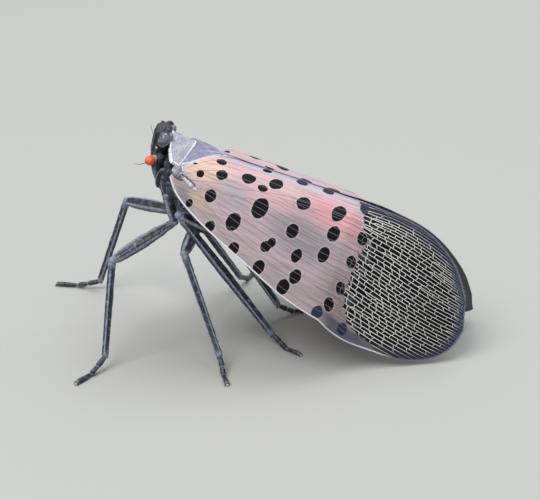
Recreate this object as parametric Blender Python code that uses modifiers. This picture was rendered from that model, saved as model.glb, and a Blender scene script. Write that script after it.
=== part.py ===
"""Spotted lanternfly at life size, standing on the floor with its wings folded like a roof.

The insect faces -X and its left side faces -Y. The floor is the plane Z = 0 and the origin is
the middle of the box's underside. Body shapes are given along the sloping wing ridge: s runs
rearwards from the start of the ridge, y sideways, h up from the ridge line, all in millimetres.
"""
import math

import bmesh
import bpy
import numpy as np
from mathutils import Vector

MM = 0.001
COLLECTION = "spotted_lanternfly"

# Driving dimensions, in millimetres and degrees
RIDGE_START = Vector((-0.86, 0.0, 14.14))
BODY_PITCH = 17.8
PLATE_THICKNESS = 0.5
WING_THICKNESS = 0.5
WING_GAP = 0.13
JOINT_GAP = 0.07
SIDES = {"left": -1, "right": 1}

# Roof of the folded wings: slope in degrees along the ridge distance s
CLAVUS_SLOPE = ((3.0, 8.0), (8.5, 14.0), (12.0, 64.0), (18.0, 78.0))
CORIUM_SLOPE = ((-4.0, 52.0), (4.0, 54.0), (10.0, 60.0), (17.0, 66.0))
CLAVUS_WIDTH = 1.0
CORIUM_START = 3.4
EDGE_CURL = 0.6

# Forewing outline on the roof: (s, width down the slope) along the upper and the lower edge
UPPER_EDGE = ((-4.45, 3.1), (-3.5, 1.95), (-2.5, 0.85), (-1.2, 0.22), (1.5, 0.0), (6.0, 0.0),
              (10.5, 0.0), (13.4, 0.25), (15.6, 1.15), (17.3, 2.5), (18.55, 4.3))
LOWER_EDGE = ((-4.85, 3.75), (-3.9, 4.9), (-1.8, 6.2), (1.8, 7.8), (5.3, 9.2), (8.7, 9.9),
              (12.2, 10.0), (15.4, 10.0), (17.5, 9.3), (18.7, 8.1), (19.15, 6.6))
# How each forewing lies: the tip's shift rearwards, then down the slope at the upper and the
# lower edge. The right one lies a little further back than the left
WING_LAY = {"left": (0.0, 0.0, 0.0), "right": (1.25, 1.2, -0.5)}
WING_COLUMNS = 30
WING_ROWS = 9
ROOF_STEPS = 25

# Hind wing, folded under the forewing
HIND_UPPER_EDGE = ((0.6, 1.6), (4.0, 1.5), (8.0, 1.8), (11.5, 3.0), (13.6, 4.2))
HIND_LOWER_EDGE = ((0.9, 4.2), (4.0, 6.9), (8.0, 8.0), (11.5, 8.2), (14.2, 6.4))
HIND_INSET = WING_THICKNESS + WING_GAP
HIND_COLUMNS = 16
HIND_ROWS = 6

# Body sections along s: (s, half width, half height, middle h)
THORAX = ((-5.15, 1.3, 1.1, -1.85), (-4.5, 1.9, 1.4, -2.1), (-3.4, 2.2, 1.65, -2.4),
          (-1.9, 2.25, 1.8, -2.7), (-0.75, 2.0, 1.8, -3.15))
ABDOMEN = ((-0.25, 2.0, 1.75, -3.35), (1.4, 2.35, 1.85, -3.5), (3.8, 2.2, 1.7, -3.5),
           (6.3, 1.75, 1.4, -3.4), (8.2, 1.25, 1.05, -3.3))
ABDOMEN_TIP = ((8.5, 1.2, 1.0, -3.3), (9.6, 0.85, 0.75, -3.25), (10.5, 0.4, 0.4, -3.2))

# Head sections down h: (h, half width, half length, middle s)
HEAD = ((0.68, 0.62, 0.4, -6.42), (0.35, 0.95, 0.66, -6.4), (-0.2, 1.15, 0.72, -6.35),
        (-1.2, 1.18, 0.72, -6.25), (-2.1, 1.0, 0.68, -6.05), (-2.65, 0.82, 0.6, -5.95))
CLYPEUS = ((-2.72, 0.78, 0.56, -5.9), (-3.4, 0.56, 0.46, -5.65), (-4.25, 0.3, 0.3, -5.2))
BEAK = ((-4.33, 0.27, 0.27, -5.12), (-4.9, 0.26, 0.26, -4.75), (-5.35, 0.25, 0.25, -4.0))
EYE_CENTRE = (-6.12, 1.2, 0.02)
EYE_SIZE = (0.44, 0.46, 0.62)
EYE_GAP = 0.06
ANTENNA_ROOT = (-6.3, 1.36, -1.55)
ANTENNA_BULB = (-6.66, 1.82, -1.62)
STUB_RADIUS = 0.26
BULB_RADIUS = 0.34
BULB_TIP_RADIUS = 0.1
BULB_STEPS = 6
BULB_DOME = 0.4
BODY_DOME = 0.1

# Plates over the thorax
PRONOTUM_FRONT = -5.45
PRONOTUM_FRONT_BEND = 0.06
PRONOTUM_HIND = -3.55
PRONOTUM_NOTCH = 0.14
PRONOTUM_HALF_WIDTH = 2.45
PRONOTUM_TOP = -0.12
PRONOTUM_DROP = 0.145
MESONOTUM_LENGTH = (-3.42, -1.35)
MESONOTUM_WIDTHS = ((-3.42, 1.7), (-2.8, 1.08), (-2.2, 0.5), (-1.35, 0.1))
MESONOTUM_TOP = -0.12
MESONOTUM_FALL = 0.1
MESONOTUM_DROP = 0.19
TEGULA_CENTRE = (-4.3, 3.05, -0.68)
TEGULA_SIZE = (0.36, 0.3, 0.3)

# Leg joints in floor coordinates, left side first, then the right side with its sign turned
LEG_JOINTS = {
    "fore": {
        "left": ((-6.5, 1.75, 12.0), (-5.95, 1.9, 9.85), (-10.2, 4.4, 7.7), (-10.55, 6.85, 1.0),
                 (-12.2, 9.3, 0.22)),
        "right": ((-6.5, 1.75, 12.0), (-6.1, 1.75, 9.0), (-10.9, 5.6, 7.75), (-13.25, 5.25, 0.75),
                  (-16.78, 5.55, 0.22)),
    },
    "mid": {
        "left": ((-4.6, 1.2, 10.8), (-4.2, 1.15, 9.75), (-5.1, 3.0, 7.85), (-2.15, 6.1, 1.1),
                 (-1.35, 8.3, 0.22)),
        "right": ((-4.6, 1.2, 10.8), (-4.2, 1.15, 9.75), (-5.1, 3.0, 7.85), (-2.15, 6.5, 1.1),
                  (-1.3, 9.37, 0.22)),
    },
    "hind": {
        "left": ((-3.0, 1.2, 9.8), (-2.4, 2.0, 9.0), (-5.4, 3.1, 11.0), (1.35, 2.25, 1.0),
                 (3.5, 3.5, 0.22)),
        "right": ((-3.0, 1.2, 9.8), (-2.4, 2.0, 9.0), (-5.4, 3.1, 11.0), (1.35, 2.25, 1.0),
                  (3.5, 3.5, 0.22)),
    },
}
# Half thickness of the leg's parts: start, middle, end
COXA_RADII = (0.42, 0.46, 0.4)
FEMUR_RADII = {"fore": (0.34, 0.42, 0.36), "mid": (0.32, 0.38, 0.34), "hind": (0.32, 0.38, 0.34)}
TIBIA_RADII = {"fore": (0.29, 0.28, 0.26), "mid": (0.29, 0.27, 0.26), "hind": (0.34, 0.36, 0.28)}
TARSUS_RADIUS = 0.26
# Stations along a limb and how much each end is drawn in
LIMB_SHARES = (0.0, 0.08, 0.5, 0.92, 1.0)
COXA_ENDS = (0.8, 0.7)
FEMUR_ENDS = (0.7, 0.7)
TIBIA_ENDS = (0.85, 0.9)
# The foot meets the floor at this share of its length, and is flat within the band from there on
FOOT_HEEL = 0.55
FOOT_HEEL_LIFT = 0.06
FLOOR_BAND = 0.03

# Colours of the solids (linear), roughness
FINISHES = {
    "head": ((0.02, 0.022, 0.028), 0.5),
    "plate": ((0.40, 0.39, 0.45), 0.55),
    "antenna": ((0.75, 0.13, 0.05), 0.5),
    "eye": ((0.05, 0.05, 0.06), 0.15),
    "body": ((0.06, 0.06, 0.07), 0.6),
    "abdomen": ((0.55, 0.40, 0.06), 0.6),
    "wing": ((0.46, 0.34, 0.34), 0.5),
    "hind_wing": ((0.45, 0.05, 0.03), 0.5),
    "leg": ((0.035, 0.04, 0.055), 0.5),
}


def body_point(s, y, h):
    """Give the place in metres of body coordinates s, y, h in millimetres."""
    pitch = math.radians(BODY_PITCH)
    along = Vector((math.cos(pitch), 0.0, -math.sin(pitch)))
    upward = Vector((math.sin(pitch), 0.0, math.cos(pitch)))
    return (RIDGE_START + along * s + upward * h + Vector((0.0, y, 0.0))) * MM


def read(pairs, x):
    """Interpolate named (position, value) pairs at x."""
    return float(np.interp(x, [p[0] for p in pairs], [p[1] for p in pairs]))


def smooth_curve(points, t):
    """Point at t, from 0 to 1, on a smooth curve through the given points."""
    spans = len(points) - 1
    i = min(int(t * spans), spans - 1)
    k = t * spans - i
    p = [np.array(points[min(max(i + j, 0), spans)]) for j in (-1, 0, 1, 2)]
    return 0.5 * (2 * p[1] + (p[2] - p[0]) * k + (2 * p[0] - 5 * p[1] + 4 * p[2] - p[3]) * k ** 2
                  + (3 * p[1] - p[0] - 3 * p[2] + p[3]) * k ** 3)


def roof_point(side, s, width, inset=0.0):
    """Place on the wing roof: width down the slope from the ridge, inset under its surface."""
    clavus, corium = read(CLAVUS_SLOPE, s), read(CORIUM_SLOPE, s)
    steps = np.linspace(0.0, width, ROOF_STEPS)
    blend = np.clip((steps - CLAVUS_WIDTH) / (CORIUM_START - CLAVUS_WIDTH), 0.0, 1.0)
    blend = blend * blend * (3.0 - 2.0 * blend)
    curl = EDGE_CURL * np.clip(steps - CORIUM_START, 0.0, None)
    slope = np.radians(clavus + (corium - clavus) * blend + curl)
    lateral = np.trapz(np.cos(slope), steps) + WING_GAP / 2
    lateral += WING_THICKNESS * math.sin(math.radians(clavus))
    drop = np.trapz(np.sin(slope), steps)
    lateral -= inset * math.sin(slope[-1])
    drop += inset * math.cos(slope[-1])
    return body_point(s, side * lateral, -drop)


def finish(obj, name, look):
    """Name an object, give it its own material and put it in the collection."""
    colour, roughness = FINISHES[look]
    material = bpy.data.materials.new(name)
    material.use_nodes = True
    shader = material.node_tree.nodes["Principled BSDF"]
    shader.inputs["Base Color"].default_value = (*colour, 1.0)
    shader.inputs["Roughness"].default_value = roughness
    shader.inputs["Metallic"].default_value = 0.0
    obj.name = name
    obj.data.name = name
    obj.data.materials.append(material)
    bpy.data.collections[COLLECTION].objects.link(obj)
    return obj


def mesh_object(bm, name, look):
    """Turn a bmesh into a smooth-shaded object."""
    mesh = bpy.data.meshes.new(name)
    bm.to_mesh(mesh)
    bm.free()
    mesh.shade_smooth()
    return finish(bpy.data.objects.new(name, mesh), name, look)


def loft(name, stations, look, around=12, dome=0.0, on_floor=False):
    """Make a closed form through stations of (centre, half side vector, half up vector).

    The form is a sphere whose rings are moved to the stations. dome pushes the two end points
    out by that share of the end's half height.
    """
    count = len(stations)
    bm = bmesh.new()
    bmesh.ops.create_uvsphere(bm, u_segments=around, v_segments=count + 1, radius=1.0)
    ends = {0: (stations[0], stations[1]), count + 1: (stations[-1], stations[-2])}
    for vert in bm.verts:
        ring = round(math.acos(max(-1.0, min(1.0, vert.co.z))) / math.pi * (count + 1))
        if ring in ends:
            (centre, _, up), (inner, _, _) = ends[ring]
            vert.co = centre + (centre - inner).normalized() * up.length * dome
            continue
        angle = math.atan2(vert.co.y, vert.co.x)
        centre, side, up = stations[ring - 1]
        vert.co = centre + side * math.cos(angle) + up * math.sin(angle)
    if side.cross(up).dot(stations[0][0] - stations[-1][0]) < 0.0:
        bmesh.ops.reverse_faces(bm, faces=bm.faces)
    if on_floor:
        for vert in bm.verts:
            if vert.co.z < FLOOR_BAND * MM:
                vert.co.z = 0.0
    return mesh_object(bm, name, look)


def body_loft(name, sections, look, around=20):
    """Loft along s from (s, half width, half height, middle h)."""
    upward = body_point(0, 0, 1) - body_point(0, 0, 0)
    stations = [(body_point(s, 0.0, h), Vector((0.0, w * MM, 0.0)), upward * t)
                for s, w, t, h in sections]
    return loft(name, stations, look, around, dome=BODY_DOME)


def head_loft(name, sections, look, around=18):
    """Loft down h from (h, half width, half length, middle s)."""
    along = body_point(1, 0, 0) - body_point(0, 0, 0)
    stations = [(body_point(s, 0.0, h), Vector((0.0, w * MM, 0.0)), along * t)
                for h, w, t, s in sections]
    return loft(name, stations, look, around)


def limb(name, points, radii, look="leg", around=8, on_floor=False):
    """Loft a round limb through points in millimetres with a half thickness at each."""
    points = [Vector(p) for p in points]
    stations = []
    for i, point in enumerate(points):
        ahead = points[min(i + 1, len(points) - 1)] - points[max(i - 1, 0)]
        side = ahead.cross(Vector((0.0, 0.0, 1.0))).normalized()
        up = side.cross(ahead).normalized()
        turn = math.pi / around
        side, up = (side * math.cos(turn) + up * math.sin(turn),
                    up * math.cos(turn) - side * math.sin(turn))
        stations.append((point * MM, side * radii[i] * MM, up * radii[i] * MM))
    return loft(name, stations, look, around, on_floor=on_floor)


def sheet(name, place, columns, rows, thickness, look, flip):
    """Make a thick sheet from place(across, down), both from 0 to 1; it thickens inwards."""
    bm = bmesh.new()
    bmesh.ops.create_grid(bm, x_segments=columns, y_segments=rows, size=0.5)
    for vert in bm.verts:
        vert.co = place(vert.co.x + 0.5, vert.co.y + 0.5)
    if flip:
        bmesh.ops.reverse_faces(bm, faces=bm.faces)
    obj = mesh_object(bm, name, look)
    solid = obj.modifiers.new("thickness", "SOLIDIFY")
    solid.thickness = thickness * MM
    solid.offset = -1.0
    return obj


def ellipsoid(size, centre, around=16, along=10):
    """Return a bmesh ball with half sizes along s, y and h, at a body place."""
    bm = bmesh.new()
    bmesh.ops.create_uvsphere(bm, u_segments=around, v_segments=along, radius=1.0)
    for vert in bm.verts:
        s, y, h = (c + r * v for c, r, v in zip(centre, size, vert.co))
        vert.co = body_point(s, y, h)
    return bm


def add_cutter(target, bm, name):
    """Cut a hidden shape out of a target."""
    mesh = bpy.data.meshes.new(name)
    bm.to_mesh(mesh)
    bm.free()
    cutter = bpy.data.objects.new(name, mesh)
    cutter.hide_render = True
    cutter.display_type = "WIRE"
    bpy.data.collections["cutters"].objects.link(cutter)
    cut = target.modifiers.new(name, "BOOLEAN")
    cut.operation = "DIFFERENCE"
    cut.object = cutter


def build_head():
    """Head with its eye sockets, eyes, antennae, clypeus and beak."""
    head = head_loft("head", HEAD, "head")
    head_loft("clypeus", CLYPEUS, "head", around=12)
    head_loft("beak", BEAK, "head", around=8)
    for name, side in SIDES.items():
        centre = (EYE_CENTRE[0], side * EYE_CENTRE[1], EYE_CENTRE[2])
        socket = tuple(size + EYE_GAP for size in EYE_SIZE)
        add_cutter(head, ellipsoid(socket, centre), f"eye_socket_{name}")
        mesh_object(ellipsoid(EYE_SIZE, centre), f"eye_{name}", "eye")
        build_antenna(f"antenna_{name}", side)


def build_antenna(name, side):
    """Short stub with its round orange bulb."""
    root = body_point(ANTENNA_ROOT[0], side * ANTENNA_ROOT[1], ANTENNA_ROOT[2])
    bulb = body_point(ANTENNA_BULB[0], side * ANTENNA_BULB[1], ANTENNA_BULB[2])
    ahead = (bulb - root).normalized()
    across = ahead.cross(Vector((0.0, 0.0, 1.0))).normalized()
    up = across.cross(ahead)
    stations = [(root, across * STUB_RADIUS * MM, up * STUB_RADIUS * MM)]
    for step in range(1, BULB_STEPS):
        angle = math.pi * step / BULB_STEPS
        centre = bulb - ahead * BULB_RADIUS * MM * math.cos(angle)
        radius = max(BULB_RADIUS * math.sin(angle), BULB_TIP_RADIUS)
        if step == 1:
            radius = STUB_RADIUS
        stations.append((centre, across * radius * MM, up * radius * MM))
    loft(name, stations, "antenna", around=12, dome=BULB_DOME)


def pronotum_place(across, down):
    """Outer surface of the collar plate; across runs from left to right, down rearwards."""
    y = PRONOTUM_HALF_WIDTH * (2.0 * across - 1.0)
    hind = PRONOTUM_HIND - PRONOTUM_NOTCH * y * y
    front = PRONOTUM_FRONT + PRONOTUM_FRONT_BEND * y * y
    return body_point(front + (hind - front) * down, y, PRONOTUM_TOP - PRONOTUM_DROP * y * y)


def mesonotum_place(across, down):
    """Outer surface of the shield between the wing bases."""
    front, hind = MESONOTUM_LENGTH
    s = front + (hind - front) * down
    y = read(MESONOTUM_WIDTHS, s) * (2.0 * across - 1.0)
    return body_point(s, y, MESONOTUM_TOP - MESONOTUM_FALL * down - MESONOTUM_DROP * y * y)


def build_trunk():
    """Thorax, its plates, the tegulae and the abdomen."""
    body_loft("thorax", THORAX, "body")
    body_loft("abdomen", ABDOMEN, "abdomen")
    body_loft("abdomen_tip", ABDOMEN_TIP, "abdomen", around=14)
    sheet("pronotum", pronotum_place, 14, 5, PLATE_THICKNESS, "plate", False)
    sheet("mesonotum", mesonotum_place, 8, 6, PLATE_THICKNESS, "plate", False)
    for name, side in SIDES.items():
        centre = (TEGULA_CENTRE[0], side * TEGULA_CENTRE[1], TEGULA_CENTRE[2])
        mesh_object(ellipsoid(TEGULA_SIZE, centre, 12, 8), f"tegula_{name}", "plate")


def build_wings():
    """Forewings meeting at the ridge, and the folded hind wings under them."""
    for name, side in SIDES.items():
        back, upper_turn, lower_turn = WING_LAY[name]

        def fore_place(across, down):
            upper, lower = smooth_curve(UPPER_EDGE, across), smooth_curve(LOWER_EDGE, across)
            s, width = upper + (lower - upper) * down
            rear = max(0.0, s) / LOWER_EDGE[-1][0]
            width += rear ** 3 * (upper_turn + (lower_turn - upper_turn) * down)
            return roof_point(side, s + back * rear, width)

        def hind_place(across, down):
            upper = smooth_curve(HIND_UPPER_EDGE, across)
            lower = smooth_curve(HIND_LOWER_EDGE, across)
            s, width = upper + (lower - upper) * down
            return roof_point(side, s, width, HIND_INSET)

        sheet(f"forewing_{name}", fore_place, WING_COLUMNS, WING_ROWS, WING_THICKNESS, "wing",
              side < 0)
        sheet(f"hindwing_{name}", hind_place, HIND_COLUMNS, HIND_ROWS, WING_THICKNESS,
              "hind_wing", side < 0)


def pushed(start, end, length):
    """The point that lies a length from start towards end."""
    return start + (end - start).normalized() * length


def run(start, end):
    """A limb's stations from start to end."""
    return [start.lerp(end, share) for share in LIMB_SHARES]


def ended(radii, ends):
    """Radii at a limb's stations, drawn in at its two ends."""
    first, middle, last = radii
    return first * ends[0], first, middle, last, last * ends[1]


def clearance(before, corner, after, radius_before, radius_after):
    """How far past the corner a limb starts so that it clears the limb that ends there."""
    fold = (before - corner).angle(after - corner)
    sine, cosine = math.sin(fold), math.cos(fold)
    beside = (radius_before + JOINT_GAP + radius_after * abs(cosine)) / sine
    if cosine >= 0.0:
        return beside
    return min(beside, (radius_after * sine + JOINT_GAP) / -cosine)


def build_leg(pair, name):
    """One leg: coxa, femur, tibia and a tarsus that ends flat on the floor."""
    side = SIDES[name]
    hip, trochanter, knee, ankle, toe = (Vector((x, side * y, z))
                                         for x, y, z in LEG_JOINTS[pair][name])
    femur, tibia = FEMUR_RADII[pair], TIBIA_RADII[pair]
    limb(f"coxa_{pair}_{name}", run(hip, trochanter), ended(COXA_RADII, COXA_ENDS))
    start = clearance(hip, trochanter, knee, COXA_RADII[2], femur[0])
    limb(f"femur_{pair}_{name}", run(pushed(trochanter, knee, start), knee),
         ended(femur, FEMUR_ENDS))
    start = clearance(trochanter, knee, ankle, femur[2], tibia[0])
    limb(f"tibia_{pair}_{name}", run(pushed(knee, ankle, start), ankle),
         ended(tibia, TIBIA_ENDS))
    start = clearance(knee, ankle, toe, tibia[2], TARSUS_RADIUS)
    heel = pushed(ankle, toe, start)
    low = heel.lerp(toe, FOOT_HEEL)
    low.z = toe.z + FOOT_HEEL_LIFT
    limb(f"tarsus_{pair}_{name}", (heel, heel.lerp(low, 0.5), low, low.lerp(toe, 0.5), toe),
         (TARSUS_RADIUS,) * 5, on_floor=True)


def main():
    """Clear the scene and build the insect."""
    for obj in list(bpy.data.objects):
        bpy.data.objects.remove(obj)
    for name in (COLLECTION, "cutters"):
        bpy.context.scene.collection.children.link(bpy.data.collections.new(name))
    build_head()
    build_trunk()
    build_wings()
    for pair in LEG_JOINTS:
        for name in SIDES:
            build_leg(pair, name)


main()
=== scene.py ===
"""Looks of the spotted lanternfly: spotted and netted wings, cuticle, head, legs and bristles.

Shapes are built in millimetres and turned into metres when each piece is finished. Body places
are given along the sloping wing ridge: s runs rearwards, y sideways and h up from the ridge.
The wings are drawn on a flat plan, (s, width), that is laid over the roof of the folded wings.
"""
import logging
import math
import random
from dataclasses import dataclass, field
from enum import Enum
from functools import lru_cache
from typing import Callable, Sequence

import bmesh
import bpy
import numpy as np
from mathutils import Matrix, Vector, kdtree, noise


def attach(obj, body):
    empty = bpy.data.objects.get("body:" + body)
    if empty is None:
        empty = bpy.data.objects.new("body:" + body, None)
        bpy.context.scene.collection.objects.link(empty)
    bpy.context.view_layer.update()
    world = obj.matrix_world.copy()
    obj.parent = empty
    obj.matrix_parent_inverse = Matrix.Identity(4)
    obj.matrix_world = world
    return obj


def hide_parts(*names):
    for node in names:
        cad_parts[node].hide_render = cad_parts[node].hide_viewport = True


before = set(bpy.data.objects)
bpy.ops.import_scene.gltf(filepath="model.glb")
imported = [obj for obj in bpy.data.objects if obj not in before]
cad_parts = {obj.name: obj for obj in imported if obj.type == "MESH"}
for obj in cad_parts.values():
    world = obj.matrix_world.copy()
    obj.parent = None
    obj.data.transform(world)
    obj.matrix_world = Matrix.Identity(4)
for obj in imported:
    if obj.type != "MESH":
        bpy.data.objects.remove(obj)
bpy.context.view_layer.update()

MM = 0.001
BODY = "root"
PLAN_MAP = "WingPlan"
BAKE_MAP = "OFBake"
LOG = logging.getLogger("lanternfly")

Pair = tuple[float, float]
Triple = tuple[float, float, float]
Colour = tuple[int, int, int]
Rows = tuple[tuple[float, ...], ...]
Build = bmesh.types.BMesh
Layer = bmesh.types.BMLayerItem
Verts = list[bmesh.types.BMVert]
Mesh = bpy.types.Mesh
Piece = bpy.types.Object
Material = bpy.types.Material
Socket = bpy.types.NodeSocket
Value = Socket | float | Sequence[float]
Shape = Callable[[float, float], float]

RIDGE_START = Vector((-0.86, 0.0, 14.14))
BODY_PITCH = math.radians(17.8)
ALONG = Vector((math.cos(BODY_PITCH), 0.0, -math.sin(BODY_PITCH)))
ACROSS = Vector((0.0, 1.0, 0.0))
UPWARD = Vector((math.sin(BODY_PITCH), 0.0, math.cos(BODY_PITCH)))
Z_AXIS = Vector((0.0, 0.0, 1.0))
GOLDEN_ANGLE = 2.399963
GOLDEN_SHARE = 0.618034


class Side(Enum):
    """Which side of the insect a piece is on. The value is the sign of y."""

    LEFT = -1
    RIGHT = 1

    @property
    def word(self) -> str:
        """The side as it stands in names."""
        return self.name.lower()

    def at(self, s: float, y: float, h: float) -> Vector:
        """Place in body coordinates, with y measured outwards on this side."""
        return body_point(s, self.value * y, h)


# Small helpers for numbers, curves and places


def srgb(red: int, green: int, blue: int) -> tuple[float, float, float, float]:
    """Turn a screen colour from 0 to 255 into a linear one with an alpha of 1."""
    linear = [c / 12.92 if c <= 0.04045 else ((c + 0.055) / 1.055) ** 2.4
              for c in (red / 255, green / 255, blue / 255)]
    return (*linear, 1.0)


def smoothstep(low: float, high: float, value: float) -> float:
    """Rise smoothly from 0 at low to 1 at high, which may lie below low."""
    t = max(0.0, min(1.0, (value - low) / (high - low)))
    return t * t * (3.0 - 2.0 * t)


def bump(centre: float, reach: float, value: float) -> float:
    """Height at a value of a smooth hill, which is 1 high round its centre."""
    return math.exp(-((value - centre) / reach) ** 2)


def read(rows: Rows, x: float, column: int = 1) -> float:
    """Interpolate a column of a table at a place in its first column."""
    return float(np.interp(x, [row[0] for row in rows], [row[column] for row in rows]))


@lru_cache(maxsize=None)
def smooth_curve(points: Rows, t: float) -> np.ndarray:
    """Point on a smooth curve through the given points.

    Args:
        points: What the curve goes through.
        t: Share of the way, from 0 to 1.

    Returns:
        The point at that share.
    """
    spans = len(points) - 1
    i = min(int(t * spans), spans - 1)
    k = t * spans - i
    p = [np.array(points[min(max(i + j, 0), spans)]) for j in (-1, 0, 1, 2)]
    return 0.5 * (2 * p[1] + (p[2] - p[0]) * k + (2 * p[0] - 5 * p[1] + 4 * p[2] - p[3]) * k ** 2
                  + (3 * p[1] - p[0] - 3 * p[2] + p[3]) * k ** 3)


def body_point(s: float, y: float, h: float) -> Vector:
    """Place in millimetres of body coordinates."""
    return RIDGE_START + ALONG * s + ACROSS * y + UPWARD * h


def body_place(point: Vector) -> Pair:
    """Place along the ridge and height over it of a point."""
    local = point - RIDGE_START
    return local.dot(ALONG), local.dot(UPWARD)


def square_to(ahead: Vector) -> tuple[Vector, Vector]:
    """Two directions square to a limb, the first of them level."""
    side = ahead.cross(Z_AXIS).normalized()
    return side, side.cross(ahead).normalized()


def from_front(angle: float) -> float:
    """Degrees between an angle round the head and the head's front."""
    return abs(math.degrees(angle) + 90.0)


# Making pieces


def finish_piece(name: str, mesh: Mesh, material: Material, slot: str, *replaced: str) -> Piece:
    """Turn a mesh in millimetres into a finished piece on the body.

    Args:
        name: The piece's name.
        mesh: Its mesh, in millimetres.
        material: Its material.
        slot: Not used.
        replaced: CAD nodes that it stands for.

    Returns:
        The piece.
    """
    mesh.name = name
    mesh.transform(Matrix.Scale(MM, 4))
    mesh.shade_smooth()
    mesh.materials.clear()
    mesh.materials.append(material)
    piece = bpy.data.objects.new(name, mesh)
    bpy.context.scene.collection.objects.link(piece)
    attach(piece, BODY)
    if replaced:
        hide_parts(*replaced)
    LOG.info("%s: %d faces", name, len(mesh.polygons))
    return piece


def to_mesh(name: str, bm: Build) -> Mesh:
    """Write a form to a new mesh and free it."""
    mesh = bpy.data.meshes.new(name)
    bm.to_mesh(mesh)
    bm.free()
    return mesh


def finish_form(name: str, bm: Build, material: Material, slot: str, *replaced: str) -> Piece:
    """Write a form to a mesh and finish it as a piece."""
    return finish_piece(name, to_mesh(name, bm), material, slot, *replaced)


def new_form() -> tuple[Build, Layer]:
    """Start a form whose vertices carry a share of pale colour."""
    bm = bmesh.new()
    return bm, bm.verts.layers.float.new("pale")


@dataclass
class Station:
    """One ring of a loft: its middle and its two half axes."""

    centre: Vector
    side: Vector
    up: Vector


def loft(bm: Build, stations: Sequence[Station], around: int, shape: Shape | None = None,
         dome: float = 0.35) -> Verts:
    """Add a closed form through rings: a ball whose rings are moved to the stations.

    Args:
        bm: The form that it is added to.
        stations: The rings in order.
        around: How many corners a ring has.
        shape: Gives the share of the half axes to use at an angle and a share of the length.
        dome: How far the ends stand out, as a share of the end's half height.

    Returns:
        The new vertices.
    """
    count = len(stations)
    made = bmesh.ops.create_uvsphere(bm, u_segments=around, v_segments=count + 1, radius=1.0)
    ends = {0: (stations[0], stations[1]), count + 1: (stations[-1], stations[-2])}
    for vert in made["verts"]:
        ring = round(math.acos(max(-1.0, min(1.0, vert.co.z))) / math.pi * (count + 1))
        if ring in ends:
            end, inner = ends[ring]
            vert.co = end.centre + (end.centre - inner.centre).normalized() * end.up.length * dome
            continue
        angle = math.atan2(vert.co.y, vert.co.x)
        station = stations[ring - 1]
        share = shape(angle, (ring - 1) / (count - 1)) if shape else 1.0
        vert.co = (station.centre + station.side * math.cos(angle) * share
                   + station.up * math.sin(angle) * share)
    first, last = stations[0], stations[-1]
    if first.side.cross(first.up).dot(first.centre - last.centre) < 0.0:
        faces = {face for vert in made["verts"] for face in vert.link_faces}
        bmesh.ops.reverse_faces(bm, faces=list(faces))
    return made["verts"]


def ball(bm: Build, centre: Vector, axes: Sequence[Vector], around: int, rings: int) -> Verts:
    """Add an ellipsoid.

    Args:
        bm: The form that it is added to.
        centre: Its middle.
        axes: Its three half axes, right handed.
        around: Corners round it.
        rings: Rings from pole to pole.

    Returns:
        The new vertices.
    """
    made = bmesh.ops.create_uvsphere(bm, u_segments=around, v_segments=rings, radius=1.0)
    for vert in made["verts"]:
        x, y, z = vert.co
        vert.co = centre + axes[0] * x + axes[1] * y + axes[2] * z
    return made["verts"]


def body_ball(bm: Build, centre: Vector, size: Sequence[float], around: int, rings: int) -> Verts:
    """Add an ellipsoid with half axes along, across and up from the body."""
    axes = (ALONG * size[0], ACROSS * size[1], UPWARD * size[2])
    return ball(bm, centre, axes, around, rings)


def tubes(paths: Sequence[Sequence[tuple[Vector, float]]], sides: int) -> Mesh:
    """Make round closed tubes along paths.

    Args:
        paths: Each path is a list of places with the tube's radius there.
        sides: Corners of a tube's section, 4 or more and even.

    Returns:
        One mesh with all the tubes.
    """
    curve = bpy.data.curves.new("tubes", "CURVE")
    curve.dimensions = "3D"
    curve.bevel_depth = 1.0
    curve.bevel_resolution = sides // 2 - 2
    curve.use_fill_caps = True
    for path in paths:
        spline = curve.splines.new("POLY")
        spline.points.add(len(path) - 1)
        for point, (place, radius) in zip(spline.points, path):
            point.co = (*place, 1.0)
            point.radius = radius
    holder = bpy.data.objects.new("tubes", curve)
    bpy.context.scene.collection.objects.link(holder)
    graph = bpy.context.evaluated_depsgraph_get()
    mesh = bpy.data.meshes.new_from_object(holder.evaluated_get(graph))
    bpy.data.objects.remove(holder)
    bpy.data.curves.remove(curve)
    bm = bmesh.new()
    bm.from_mesh(mesh)
    bmesh.ops.remove_doubles(bm, verts=bm.verts, dist=1e-4)
    bm.to_mesh(mesh)
    bm.free()
    return mesh


def set_floats(mesh: Mesh, name: str, values: Sequence[float]) -> None:
    """Store one number for each vertex under a name that materials can read."""
    layer = mesh.attributes.new(name, "FLOAT", "POINT")
    layer.data.foreach_set("value", np.asarray(values, np.float32))


def set_map(mesh: Mesh, name: str, places: np.ndarray) -> None:
    """Store a flat map from one (u, v) for each vertex."""
    corners = np.empty(len(mesh.loops), np.int32)
    mesh.loops.foreach_get("vertex_index", corners)
    layer = mesh.uv_layers.new(name=name, do_init=False)
    layer.data.foreach_set("uv", places[corners].astype(np.float32).ravel())


def roughen(verts: Verts, depth: float, size: float, seed: float) -> None:
    """Move vertices in and out by smooth noise.

    Args:
        verts: Vertices of a closed form.
        depth: How far they move, in millimetres.
        size: How wide the bumps are, in millimetres.
        seed: Shift that makes each piece's noise its own.
    """
    shift = Vector((seed, -seed, 2.0 * seed))
    moves = [(vert, vert.normal * depth * noise.fractal(vert.co / size + shift, 1.0, 2.0, 3))
             for vert in verts]
    for vert, move in moves:
        vert.co += move


# Materials


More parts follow.
